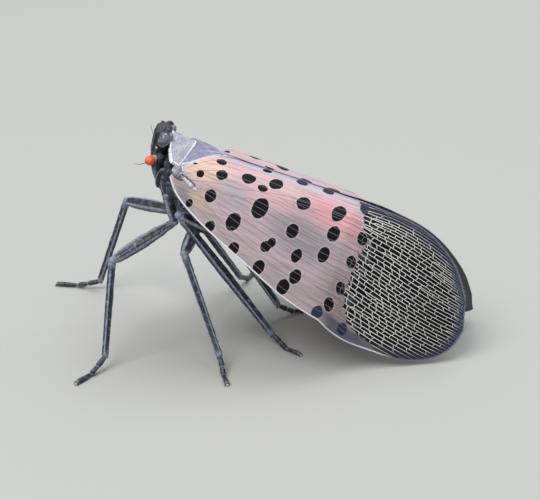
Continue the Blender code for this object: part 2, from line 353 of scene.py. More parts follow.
class Shade:
    """Builds the nodes of one material."""

    def __init__(self, name: str) -> None:
        """Start a material of that name with one shader."""
        self.material = bpy.data.materials.new(name)
        self.material.use_nodes = True
        self.tree = self.material.node_tree
        self.shader = self.tree.nodes["Principled BSDF"]

    def node(self, kind: str, **settings: object) -> bpy.types.Node:
        """Add a node of a kind and set its own fields."""
        made = self.tree.nodes.new(kind)
        for key, value in settings.items():
            setattr(made, key, value)
        return made

    def feed(self, socket: Socket, value: Value) -> None:
        """Link or set a socket."""
        if isinstance(value, bpy.types.NodeSocket):
            self.tree.links.new(value, socket)
        else:
            socket.default_value = value

    def math(self, operation: str, first: Value, second: Value) -> Socket:
        """Combine two numbers by one of Blender's sums."""
        made = self.node("ShaderNodeMath", operation=operation)
        self.feed(made.inputs[0], first)
        self.feed(made.inputs[1], second)
        return made.outputs[0]

    def times(self, first: Value, second: Value) -> Socket:
        """Product of two numbers."""
        return self.math("MULTIPLY", first, second)

    def plus(self, first: Value, second: Value) -> Socket:
        """Sum of two numbers."""
        return self.math("ADD", first, second)

    def swing(self, value: Value, reach: float) -> Socket:
        """Turn a number from 0 to 1 into one round 0, over a reach."""
        return self.times(self.math("SUBTRACT", value, 0.5), reach)

    def step(self, value: Value, low: float, high: float) -> Socket:
        """Rise smoothly from 0 at low to 1 at high, which may lie below low."""
        made = self.node("ShaderNodeMapRange", interpolation_type="SMOOTHSTEP")
        self.feed(made.inputs["Value"], value)
        ends = (min(low, high), max(low, high), float(low > high), float(low < high))
        for name, number in zip(("From Min", "From Max", "To Min", "To Max"), ends):
            made.inputs[name].default_value = number
        return made.outputs["Result"]

    def mix(self, factor: Value, first: Socket | Colour, second: Socket | Colour) -> Socket:
        """Mix two colours.

        Args:
            factor: Share of the second colour.
            first: A socket or a screen colour.
            second: A socket or a screen colour.

        Returns:
            The mixed colour's socket.
        """
        made = self.node("ShaderNodeMix", data_type="RGBA", clamp_factor=True)
        self.feed(made.inputs["Factor"], factor)
        for index, colour in ((6, first), (7, second)):
            self.feed(made.inputs[index], srgb(*colour) if isinstance(colour, tuple) else colour)
        return made.outputs[2]

    def tint(self, base: Socket | Colour, colour: Socket | Colour, *shares: Value) -> Socket:
        """Lay a colour over a base by the product of some shares."""
        share = shares[0]
        for other in shares[1:]:
            share = self.times(share, other)
        return self.mix(share, base, colour)

    def attribute(self, name: str) -> Socket:
        """Read a number stored on the mesh."""
        return self.node("ShaderNodeAttribute", attribute_name=name).outputs["Fac"]

    def place(self) -> Socket:
        """The piece's own coordinates in millimetres."""
        return self.stretched(self.node("ShaderNodeTexCoord").outputs["Object"], (1 / MM,) * 3)

    def plan(self) -> Socket:
        """Coordinates on the wing plan."""
        return self.node("ShaderNodeUVMap", uv_map=PLAN_MAP).outputs["UV"]

    def split(self, vector: Socket) -> tuple[Socket, Socket]:
        """First and second coordinate of a vector."""
        made = self.node("ShaderNodeSeparateXYZ")
        self.feed(made.inputs[0], vector)
        return made.outputs["X"], made.outputs["Y"]

    def stretched(self, vector: Socket, scale: Triple, shift: Triple = (0.0, 0.0, 0.0)) -> Socket:
        """Scale coordinates by three numbers and then shift them."""
        made = self.node("ShaderNodeMapping")
        made.inputs["Scale"].default_value = scale
        made.inputs["Location"].default_value = shift
        self.feed(made.inputs["Vector"], vector)
        return made.outputs["Vector"]

    def texture(self, kind: str, vector: Socket, size: float, **settings: object) -> bpy.types.Node:
        """Add a texture whose features have a size in the unit of its coordinates."""
        made = self.node(kind, **settings)
        made.inputs["Scale"].default_value = 1.0 / size
        self.feed(made.inputs["Vector"], vector)
        return made

    def noise(self, vector: Socket, size: float, detail: float = 3.0) -> Socket:
        """Noise from 0 to 1, with so many finer layers."""
        made = self.texture("ShaderNodeTexNoise", vector, size)
        made.inputs["Detail"].default_value = detail
        return made.outputs["Fac"]

    def warped(self, vector: Socket, size: float, reach: float) -> Socket:
        """Shift flat coordinates to and fro by noise of a size, over a reach."""
        offset = self.node("ShaderNodeVectorMath", operation="MULTIPLY_ADD")
        self.feed(offset.inputs[0], self.noise(vector, size).node.outputs["Color"])
        offset.inputs[1].default_value = (reach, reach, 0.0)
        self.feed(offset.inputs[2], vector)
        back = (-reach / 2, -reach / 2, 0.0)
        return self.stretched(offset.outputs["Vector"], (1.0, 1.0, 1.0), back)

    def cells(self, vector: Socket, size: float) -> Socket:
        """Distance from the middle of each cell of a pattern."""
        return self.texture("ShaderNodeTexVoronoi", vector, size, feature="F1").outputs["Distance"]

    def relief(self, height: Socket, depth: float, strength: float = 1.0) -> None:
        """Give the surface a fine relief, its depth in millimetres."""
        made = self.node("ShaderNodeBump")
        made.inputs["Strength"].default_value = strength
        made.inputs["Distance"].default_value = depth * MM
        self.feed(made.inputs["Height"], height)
        self.feed(self.shader.inputs["Normal"], made.outputs["Normal"])

    def wear(self, colour: Value, roughness: Value, others: dict[str, Value] | None = None) -> None:
        """Give the shader its colour, its roughness and other values by their names."""
        for name, value in {"Base Color": colour, "Roughness": roughness, **(others or {})}.items():
            self.feed(self.shader.inputs[name], value)


@dataclass(frozen=True)
class Finish:
    """A surface finish. Each kind paints a material of its own."""

    name: str

    def make(self) -> Material:
        """Build the material."""
        shade = Shade(self.name)
        self.paint(shade)
        return shade.material

    def paint(self, shade: Shade) -> None:
        """Build the material's nodes."""
        raise NotImplementedError


@dataclass(frozen=True)
class CuticleFinish(Finish):
    """Dark insect cuticle with pale worn ridges, painted highlights and painted sheen where the pale
    share says, and a thin bloom of wax.
    """

    dark: Colour = (22, 24, 31)
    shine: Colour = (60, 66, 82)
    pale: Colour = (158, 166, 184)
    roughness: float = 0.42
    bloom: float = 0.5
    gloss: float = 0.25

    def paint(self, shade: Shade) -> None:
        """Build the material's nodes."""
        place = shade.place()
        grain = shade.noise(place, 0.09, 4.0)
        base = shade.mix(shade.step(shade.noise(place, 0.55, 5.0), 0.42, 0.66), self.dark, self.shine)
        # The pale share holds real pale ridges and also painted highlights on the leg joints and
        # painted sheen on the head's crown.
        ridge = shade.times(shade.attribute("pale"), shade.step(grain, 0.25, 0.6))
        bloom = shade.times(shade.step(shade.noise(place, 0.32, 6.0), 0.56, 0.74), self.bloom)
        colour = shade.mix(shade.math("MAXIMUM", ridge, bloom), base, self.pale)
        roughness = shade.plus(shade.times(grain, 0.25), self.roughness - 0.12)
        shade.wear(colour, roughness, {"Coat Weight": self.gloss, "Coat Roughness": 0.25})
        shade.relief(shade.plus(grain, shade.noise(place, 0.3, 3.0)), 0.035)


@dataclass(frozen=True)
class PlateFinish(Finish):
    """Pale lilac-grey plate with white raised edges, fine wrinkles and painted shade in their
    grooves.
    """

    ground: Colour = (192, 189, 202)
    shadow: Colour = (150, 147, 160)
    edge: Colour = (226, 226, 232)

    def paint(self, shade: Shade) -> None:
        """Build the material's nodes."""
        place = shade.place()
        lines = shade.noise(shade.stretched(place, (2.2, 0.8, 1.6)), 0.16, 5.0)
        cloud = shade.step(shade.noise(place, 0.6, 4.0), 0.35, 0.65)
        base = shade.mix(cloud, self.shadow, self.ground)
        # Painted shade: the wrinkles' low lines, the grooves of the relief, take the shadow colour.
        base = shade.tint(base, self.shadow, shade.step(lines, 0.62, 0.4))
        colour = shade.tint(base, self.edge, shade.attribute("pale"), shade.step(lines, 0.2, 0.45))
        shade.wear(colour, 0.55)
        shade.relief(shade.plus(lines, shade.noise(place, 0.07, 3.0)), 0.04)


@dataclass(frozen=True)
class Spot:
    """One spot of the wing plan, in millimetres, turned by an angle in degrees."""

    s: float
    width: float
    long: float
    short: float
    turn: float = 100.0


DARK_SPOTS = (
    # Clavus and upper corium, from the root rearwards
    Spot(-3.45, 2.16, 0.18, 0.08, -25), Spot(-2.85, 2.8, 0.3, 0.29),
    Spot(-1.37, 2.35, 0.45, 0.41, -43), Spot(-1.66, 1.08, 0.41, 0.35, -30),
    Spot(0.55, 1.87, 0.54, 0.49, -30), Spot(1.71, 0.27, 0.37, 0.2, -10),
    Spot(1.72, 2.33, 0.38, 0.29, 0), Spot(2.58, 1.49, 0.64, 0.47, -60),
    # Middle rows
    Spot(-1.66, 4.14, 0.48, 0.42), Spot(1.99, 3.81, 0.82, 0.58), Spot(4.88, 2.34, 0.58, 0.5, 125),
    Spot(7.54, 2.06, 0.76, 0.49, 108), Spot(0.47, 5.37, 0.71, 0.52), Spot(4.72, 4.58, 0.55, 0.46),
    Spot(7.61, 3.68, 0.6, 0.46, 104), Spot(9.75, 2.86, 0.49, 0.4), Spot(3.22, 6.32, 0.42, 0.38),
    Spot(3.55, 5.92, 0.4, 0.3, 110), Spot(5.56, 6.13, 0.55, 0.36), Spot(7.4, 5.37, 0.59, 0.42),
    Spot(9.5, 4.77, 0.46, 0.38, 110), Spot(9.34, 6.88, 0.47, 0.37), Spot(8.9, 8.42, 0.5, 0.4),
    # Row along the costal margin
    Spot(-2.95, 5.11, 0.33, 0.25), Spot(-1.01, 6.21, 0.43, 0.36), Spot(1.07, 7.2, 0.5, 0.4),
    Spot(3.21, 7.9, 0.58, 0.42), Spot(5.94, 7.58, 0.57, 0.42), Spot(5.33, 8.6, 0.6, 0.46),
)
SLATE_SPOTS = (
    Spot(4.38, 0.28, 0.46, 0.29, -5), Spot(6.4, 0.25, 0.46, 0.29, -5),
    Spot(8.25, 9.38, 0.52, 0.42, 98), Spot(10.46, 9.35, 0.49, 0.4, 98),
    Spot(9.28, 0.5, 0.55, 0.36, 87),
)
# Soft patches of colour, those that the costal strip lies over first
UNDER_GLOWS = (
    (Spot(5.6, 4.9, 4.2, 1.9, 12.0), (146, 138, 145)),
    (Spot(-0.3, 3.4, 1.8, 0.9, 30.0), (168, 162, 166)),
)
OVER_GLOWS = (
    (Spot(-2.7, 2.3, 2.9, 1.7, -10.0), (214, 184, 166)),
    (Spot(-2.5, 4.6, 1.8, 0.9, 40.0), (178, 156, 142)),
    (Spot(2.6, 2.9, 2.8, 1.0, 5.0), (202, 165, 169)),
    (Spot(7.5, 2.3, 3.4, 1.9, 10.0), (208, 150, 157)),
    (Spot(-3.4, 5.0, 1.7, 0.75, 62.0), (132, 124, 130)),
    (Spot(9.4, 7.6, 2.6, 2.6, 0.0), (146, 134, 134)),
)


@dataclass(frozen=True)
class WingFinish(Finish):
    """Leathery spotted base and black net of the forewing, painted on its flat plan."""

    cell: Colour = (11, 11, 14)
    spot: Colour = (10, 10, 14)
    band: Colour = (44, 48, 60)
    slate: Colour = (46, 48, 66)
    band_reach: Pair = (0.85, 0.25)
    veins: bool = False

    def away(self, shade: Shade, plan: Socket, spot: Spot) -> Socket:
        """Distance from a spot's middle, 1 at its edge."""
        mapping = shade.node("ShaderNodeMapping", vector_type="TEXTURE")
        mapping.inputs["Location"].default_value = (spot.s, spot.width, 0.0)
        mapping.inputs["Rotation"].default_value = (0.0, 0.0, math.radians(spot.turn))
        mapping.inputs["Scale"].default_value = (spot.long, spot.short, 1.0)
        shade.feed(mapping.inputs["Vector"], plan)
        length = shade.node("ShaderNodeVectorMath", operation="LENGTH")
        shade.feed(length.inputs[0], mapping.outputs["Vector"])
        return length.outputs["Value"]

    def nearest(self, shade: Shade, plan: Socket, spots: Sequence[Spot]) -> Socket:
        """Distance from the nearest of some spots."""
        found = self.away(shade, plan, spots[0])
        for spot in spots[1:]:
            found = shade.math("MINIMUM", found, self.away(shade, plan, spot))
        return found

    def glows(self, shade: Shade, plan: Socket, ground: Socket,
              glows: Sequence[tuple[Spot, Colour]]) -> Socket:
        """Lay soft patches of colour over the ground."""
        for spot, colour in glows:
            ground = shade.tint(ground, colour, shade.step(self.away(shade, plan, spot), 1.0, 0.25))
        return ground

    def leather(self, shade: Shade, plan: Socket, streak: Socket, rim: Socket,
                costal: Socket) -> Socket:
        """Colour of the leathery part between the spots.

        Args:
            shade: The material being built.
            plan: Coordinates on the wing plan.
            streak: Noise drawn out along the veins.
            rim: Distance from the wing's edge.
            costal: Distance beyond the vein that bounds the costal strip.

        Returns:
            The colour's socket.
        """
        x, y = shade.split(plan)
        ridge = shade.math("SUBTRACT", y, shade.times(x, 0.12))
        ground = shade.mix(shade.step(y, 4.4, 1.2), (174, 157, 163), (198, 167, 170))
        ground = shade.tint(ground, (184, 172, 179), shade.step(ridge, 0.8, 0.4))
        ground = self.glows(shade, plan, ground, UNDER_GLOWS)
        ground = shade.tint(ground, (162, 150, 151), shade.step(costal, -0.25, 0.25))
        ground = self.glows(shade, plan, ground, OVER_GLOWS)
        ground = shade.tint(ground, (206, 192, 188), shade.step(streak, 0.5, 0.78), 0.42)
        ground = shade.tint(ground, (112, 94, 98), shade.step(streak, 0.5, 0.26), 0.42)
        seam = (shade.step(y, 0.42, 0.12), shade.step(streak, 0.3, 0.6), 0.6)
        ground = shade.tint(ground, (128, 118, 156), *seam)
        hem = (shade.step(rim, 1.5, 0.8), shade.step(costal, 0.2, 0.8), shade.step(x, 7.9, 9.6), 0.85)
        return shade.tint(ground, (74, 78, 96), *hem)

    def paint(self, shade: Shade) -> None:
        """Build the material's nodes."""
        plan = shade.plan()
        x, _ = shade.split(plan)
        fanned = shade.node("ShaderNodeCombineXYZ")
        shade.feed(fanned.inputs["X"], x)
        shade.feed(fanned.inputs["Y"], shade.attribute("streak_mm"))
        streak = shade.noise(shade.stretched(fanned.outputs["Vector"], (0.3, 6.5, 1.0)), 1.0, 5.0)
        cloud = shade.noise(plan, 2.4, 3.0)
        crumb = shade.noise(shade.stretched(plan, (1.0, 1.8, 1.0)), 0.5, 2.0)
        ragged = shade.plus(shade.swing(cloud, 0.8), shade.swing(crumb, 1.5))
        net = shade.plus(shade.attribute("net_mm"), ragged)
        rim, costal = shade.attribute("rim_mm"), shade.attribute("costal_mm")
        bent = shade.warped(plan, 1 / 2.2, 0.16)
        dark = self.nearest(shade, bent, DARK_SPOTS)
        slate = self.nearest(shade, bent, SLATE_SPOTS)

        colour = self.leather(shade, plan, streak, rim, costal)
        colour = shade.tint(colour, (206, 190, 188), shade.step(dark, 1.28, 1.06), 0.3)
        cell = self.cell
        if self.veins:
            colour = shade.tint(colour, (122, 98, 100), 0.32)
        else:
            patchy = shade.step(shade.noise(plan, 0.6, 2.0), 0.5, 0.62)
            cell = shade.tint(cell, (92, 88, 98), shade.step(net, 1.5, 0.0), patchy)
        colour = shade.tint(colour, cell, shade.step(net, -0.1, 0.1))
        far = shade.step(shade.plus(rim, shade.swing(cloud, 0.7)), *self.band_reach)
        colour = shade.tint(colour, self.band, far, shade.step(net, -0.6, 1.4))
        colour = shade.tint(colour, self.slate, shade.step(slate, 1.05, 0.88))
        colour = shade.tint(colour, self.spot, shade.step(dark, 1.03, 0.94))

        outer = shade.math("MAXIMUM", shade.step(costal, -1.2, -0.2), shade.step(net, -0.5, 0.5))
        outer = shade.math("MAXIMUM", outer, shade.step(x, -1.3, -2.2))
        edge = shade.mix(shade.step(net, -0.5, 1.0), (214, 211, 218), (108, 112, 126))
        edge = shade.mix(outer, (96, 82, 86), edge)
        colour = shade.tint(colour, edge, shade.step(rim, 0.1, 0.05))
        if not self.veins:
            inner = shade.attribute("inner")
            colour = shade.tint(colour, (98, 94, 90), inner, shade.step(net, -0.2, 0.6))
            colour = shade.tint(colour, (150, 145, 158), inner, shade.step(x, 0.5, -0.5))
        shade.wear(colour, 0.65, {"Specular IOR Level": 0.14, "Sheen Weight": 0.2,
                                  "Sheen Roughness": 0.35, "Sheen Tint": srgb(206, 206, 236)})
        shade.relief(shade.plus(streak, shade.noise(plan, 0.12, 3.0)), 0.02, 0.8)


@dataclass(frozen=True)
class HindwingFinish(Finish):
    """Red hind wing with black spots, a white band and a black tip."""

    def paint(self, shade: Shade) -> None:
        """Build the material's nodes."""
        plan = shade.plan()
        wobble = shade.plus(shade.split(plan)[0], shade.noise(plan, 1.2, 3.0))
        colour = shade.mix(shade.noise(plan, 0.7, 4.0), (168, 34, 26), (206, 62, 44))
        colour = shade.tint(colour, (22, 16, 18), shade.step(shade.cells(plan, 1.15), 0.3, 0.24))
        colour = shade.tint(colour, (206, 200, 190), shade.step(wobble, 7.6, 8.0))
        colour = shade.tint(colour, (26, 24, 28), shade.step(wobble, 9.6, 10.1))
        shade.wear(colour, 0.5)
        shade.relief(shade.noise(shade.stretched(plan, (0.4, 4.0, 1.0)), 0.6, 4.0), 0.04)


@dataclass(frozen=True)
class TrunkFinish(Finish):
    """Trunk that turns from dark thorax to a yellow abdomen with black bands."""

    def paint(self, shade: Shade) -> None:
        """Build the material's nodes."""
        place = shade.place()
        grain = shade.noise(place, 0.12, 4.0)
        cloud = shade.noise(place, 0.5, 4.0)
        dark = shade.mix(shade.step(cloud, 0.4, 0.7), (30, 32, 40), (70, 76, 94))
        bloom = shade.step(shade.noise(place, 0.3, 6.0), 0.55, 0.75)
        dark = shade.tint(dark, (140, 146, 164), bloom)
        yellow = shade.mix(cloud, (206, 150, 38), (232, 190, 84))
        yellow = shade.tint(yellow, (34, 32, 34), shade.attribute("band"))
        yellow = shade.tint(yellow, (206, 200, 188), shade.step(grain, 0.5, 0.7), 0.25)
        colour = shade.tint(dark, yellow, shade.attribute("rear"))
        shade.wear(shade.tint(colour, (160, 160, 168), shade.attribute("pale")), 0.5)
        shade.relief(shade.plus(grain, cloud), 0.04)


@dataclass(frozen=True)
class EyeFinish(Finish):
    """Glossy grey-violet eye with fine facets."""

    def paint(self, shade: Shade) -> None:
        """Build the material's nodes."""
        place = shade.place()
        band = shade.noise(shade.stretched(place, (0.5, 0.5, 1.6)), 0.35, 2.0)
        colour = shade.mix(shade.step(band, 0.35, 0.65), (40, 38, 48), (116, 114, 134))
        shade.wear(colour, 0.28, {"Coat Weight": 0.9, "Coat Roughness": 0.08})
        shade.relief(shade.cells(place, 0.045), 0.006)


@dataclass(frozen=True)
class BulbFinish(Finish):
    """Orange antenna bulb with tiny sense pits."""

    def paint(self, shade: Shade) -> None:
        """Build the material's nodes."""
        place = shade.place()
        pits = shade.cells(place, 0.075)
        colour = shade.mix(shade.noise(place, 0.3, 3.0), (212, 62, 32), (246, 118, 74))
        colour = shade.tint(colour, (255, 160, 112), shade.step(pits, 0.3, 0.1))
        colour = shade.tint(colour, (198, 184, 160), shade.attribute("pale"))
        radius = (0.2 * MM, 0.06 * MM, 0.04 * MM)
        shade.wear(colour, 0.42, {"Subsurface Weight": 0.15, "Subsurface Radius": radius})
        shade.relief(pits, 0.03)


@dataclass(frozen=True)
class PlainFinish(Finish):
    """Small hard part of nearly one colour, varied by fine noise."""

    first: Colour = (0, 0, 0)
    second: Colour = (0, 0, 0)
    roughness: float = 0.4
    gloss: float = 0.0

    def paint(self, shade: Shade) -> None:
        """Build the material's nodes."""
        grain = shade.noise(shade.place(), 0.15, 4.0)
        colour = shade.mix(shade.step(grain, 0.3, 0.7), self.first, self.second)
        shade.wear(colour, self.roughness, {"Coat Weight": self.gloss, "Coat Roughness": 0.1})
        shade.relief(grain, 0.01)


@dataclass(frozen=True)
class FloorFinish(Finish):
    """Plain pale studio floor."""

    def paint(self, shade: Shade) -> None:
        """Build the material's nodes."""
        shade.wear(srgb(172, 172, 168), 0.85)


# Wings


@dataclass
class WingPlan:
    """Flat outline of the forewing and the roof that it is laid over, in millimetres."""

    # Slope of the roof in degrees at places along the ridge, near the ridge and lower down
    clavus_slope: Rows = ((3.0, 8.0), (8.5, 14.0), (12.0, 64.0), (18.0, 78.0))
    corium_slope: Rows = ((-4.0, 52.0), (4.0, 54.0), (10.0, 60.0), (17.0, 66.0))
    clavus_width: float = 1.0
    corium_start: float = 3.4
    edge_curl: float = 0.6
    gap: float = 0.07
    cad_thickness: float = 0.5
    upper_edge: Rows = (
        (-4.45, 3.1), (-3.5, 1.95), (-2.5, 0.85), (-1.2, 0.16), (1.5, 0.0), (6.0, 0.0),
        (10.5, 0.0), (13.4, 0.25), (15.6, 1.15), (17.3, 2.5), (18.55, 4.3))
    lower_edge: Rows = (
        (-4.85, 3.75), (-3.9, 4.9), (-1.8, 6.2), (1.8, 7.8), (5.3, 9.2), (8.7, 9.9),
        (12.2, 10.0), (15.4, 10.0), (17.5, 9.3), (18.7, 8.1), (19.15, 6.6))
    net_start: Rows = (
        (0.0, 8.95), (1.1, 9.35), (2.0, 9.65), (2.65, 10.1), (3.7, 10.0), (5.6, 9.7),
        (7.1, 9.75), (7.8, 9.95), (8.5, 10.4), (9.0, 11.2), (9.5, 12.6), (10.0, 14.0))
    cream_vein: Rows = (
        (-3.3, 3.75), (-1.74, 4.89), (-0.27, 5.69), (1.22, 6.32), (3.55, 7.17), (5.42, 7.67),
        (9.0, 8.3), (19.0, 9.6))
    fold_line: Rows = (
        (-3.4, 3.54), (-2.0, 3.14), (0.16, 2.85), (1.8, 2.5), (3.77, 2.15), (6.04, 1.96),
        (8.4, 2.02))
    # Right wing's tip: its shift rearwards, and down the slope at the upper and the lower edge
    lay: Triple = (1.1, 1.95, -0.45)
    # Widths between which the turn goes from the upper edge's to the lower edge's
    turn_widths: Pair = (4.0, 10.0)
    # Depth that the right wing's root lies under the roof
    sink: float = 0.6
    # Where the roof steepens, lines on it turn towards the ridge to look straight
    bend_start: float = 8.5
    bend_length: float = 3.1
    bend_slope: float = 0.38
    outline_steps: int = 120
    outline_parts: int = 12
    roof_steps: int = 25

    def __post_init__(self) -> None:
        """Work out the smooth outline once."""
        shares = np.linspace(0.0, 1.0, self.outline_steps)
        upper = [smooth_curve(self.upper_edge, t) for t in shares]
        lower = [smooth_curve(self.lower_edge, t) for t in shares]
        self.upper = np.array([*upper, lower[-1]])
        self.lower = np.array([upper[0], *lower])
        ring = np.vstack([self.lower, self.upper[::-1]])
        steps = np.linspace(0.0, 1.0, 5)[:-1, None]
        self.outline = np.vstack([a + (b - a) * steps for a, b in zip(ring[:-1], ring[1:])])

    def span(self, s: float) -> Pair:
        """Widths of the upper and the lower edge at a place along the ridge."""
        return (float(np.interp(s, self.upper[:, 0], self.upper[:, 1])),
                float(np.interp(s, self.lower[:, 0], self.lower[:, 1])))

    def laid(self, side: Side, s: float, width: float) -> Pair:
        """Turn a place on the plan into the place where that side's wing lies."""
        if side is Side.LEFT:
            return s, width
        back, upper_turn, lower_turn = self.lay
        rear = max(0.0, s) / self.lower_edge[-1][0]
        low = smoothstep(*self.turn_widths, width)
        return s + back * rear, width + rear ** 3 * (upper_turn + (lower_turn - upper_turn) * low)

    def tilt(self, s: float, widths: np.ndarray) -> np.ndarray:
        """Slope of the roof in radians at a place along the ridge and widths down from it."""
        clavus, corium = read(self.clavus_slope, s), read(self.corium_slope, s)
        blend = np.clip((widths - self.clavus_width) / (self.corium_start - self.clavus_width), 0, 1)
        blend = blend * blend * (3.0 - 2.0 * blend)
        curl = self.edge_curl * np.clip(widths - self.corium_start, 0.0, None)
        return np.radians(clavus + (corium - clavus) * blend + curl)

    def roof(self, side: Side, s: float, width: float, inset: float) -> Vector:
        """Place on the roof of the folded wings.

        Args:
            side: The wing's side.
            s: Place along the ridge.
            width: Distance down the slope from the ridge.
            inset: Depth under the outer surface.

        Returns:
            The place in millimetres.
        """
        steps = np.linspace(0.0, width, self.roof_steps)
        slope = self.tilt(s, steps)
        lateral = np.trapz(np.cos(slope), steps) + self.gap / 2
        lateral += self.cad_thickness * math.sin(slope[0]) * smoothstep(5.0, 10.0, s)
        drop = np.trapz(np.sin(slope), steps)
        lateral -= inset * math.sin(slope[-1])
        drop += inset * math.cos(slope[-1])
        return side.at(s, lateral, -drop)

    def marks(self, mesh: Mesh, places: np.ndarray) -> None:
        """Store on a mesh what the wing's materials read, from each vertex's plan place."""
        rim = np.full(len(places), np.inf)
        for part in np.array_split(self.outline, self.outline_parts):
            away = np.hypot(places[:, None, 0] - part[None, :, 0],
                            places[:, None, 1] - part[None, :, 1])
            rim = np.minimum(rim, away.min(axis=1))
        start = np.interp(places[:, 1], *np.array(self.net_start).T)
        cream = np.interp(places[:, 0], *np.array(self.cream_vein).T)
        set_floats(mesh, "rim_mm", rim)
        set_floats(mesh, "net_mm", places[:, 0] - start)
        set_floats(mesh, "costal_mm", places[:, 1] - cream)
        bent = np.clip(places[:, 0] - self.bend_start, 0.0, self.bend_length)
        shift = -self.bend_slope * (bent - bent ** 2 / (2.0 * self.bend_length))
        fan = 0.1 * places[:, 0] * np.clip(places[:, 1] / 4.0, 0.0, 1.0)
        set_floats(mesh, "streak_mm", places[:, 1] - shift - fan)
        set_map(mesh, PLAN_MAP, places)


def wing_sheet(name: str, side: Side, edges: tuple[Rows, Rows], size: tuple[int, int],
               surface: Callable[[float, float, float, float], Vector],
               thickness: float) -> tuple[Mesh, np.ndarray]:
    """Make a closed thin sheet between two edges drawn on the wing plan.

    Args:
        name: The mesh's name.
        side: The wing's side.
        edges: The upper and the lower edge.
        size: Columns and rows.
        surface: Gives the outer surface from the plan place and the shares along and down.
        thickness: The sheet's thickness.

    Returns:
        The mesh, which knows its inner face, and the plan place of each vertex.
    """
    bm = bmesh.new()
    bmesh.ops.create_grid(bm, x_segments=size[0], y_segments=size[1], size=0.5)
    planned = bm.verts.layers.float_vector.new("planned")
    for vert in bm.verts:
        across, down = vert.co.x + 0.5, vert.co.y + 0.5
        upper, lower = (smooth_curve(edge, round(across, 6)) for edge in edges)
        s, width = upper + (lower - upper) * down
        vert[planned] = (s, width, 0.0)
        vert.co = surface(s, width, across, down)
    outer = {vert.co.copy().freeze() for vert in bm.verts}
    if side is Side.LEFT:
        bmesh.ops.reverse_faces(bm, faces=bm.faces)
    bm.normal_update()
    bmesh.ops.solidify(bm, geom=bm.faces, thickness=thickness)
    inner = [0.0 if vert.co.copy().freeze() in outer else 1.0 for vert in bm.verts]
    mesh = to_mesh(name, bm)
    set_floats(mesh, "inner", inner)
    places = np.empty(len(mesh.vertices) * 3, np.float32)
    mesh.attributes["planned"].data.foreach_get("vector", places)
    mesh.attributes.remove(mesh.attributes["planned"])
    return mesh, places.reshape(-1, 3)[:, :2].astype(float)


@dataclass
class Vein:
    """One vein while it grows over the plan."""

    width: float
    path: list[Pair]
    thickness: float
    guide: Rows | None = None
    next_rung: float = 0.0


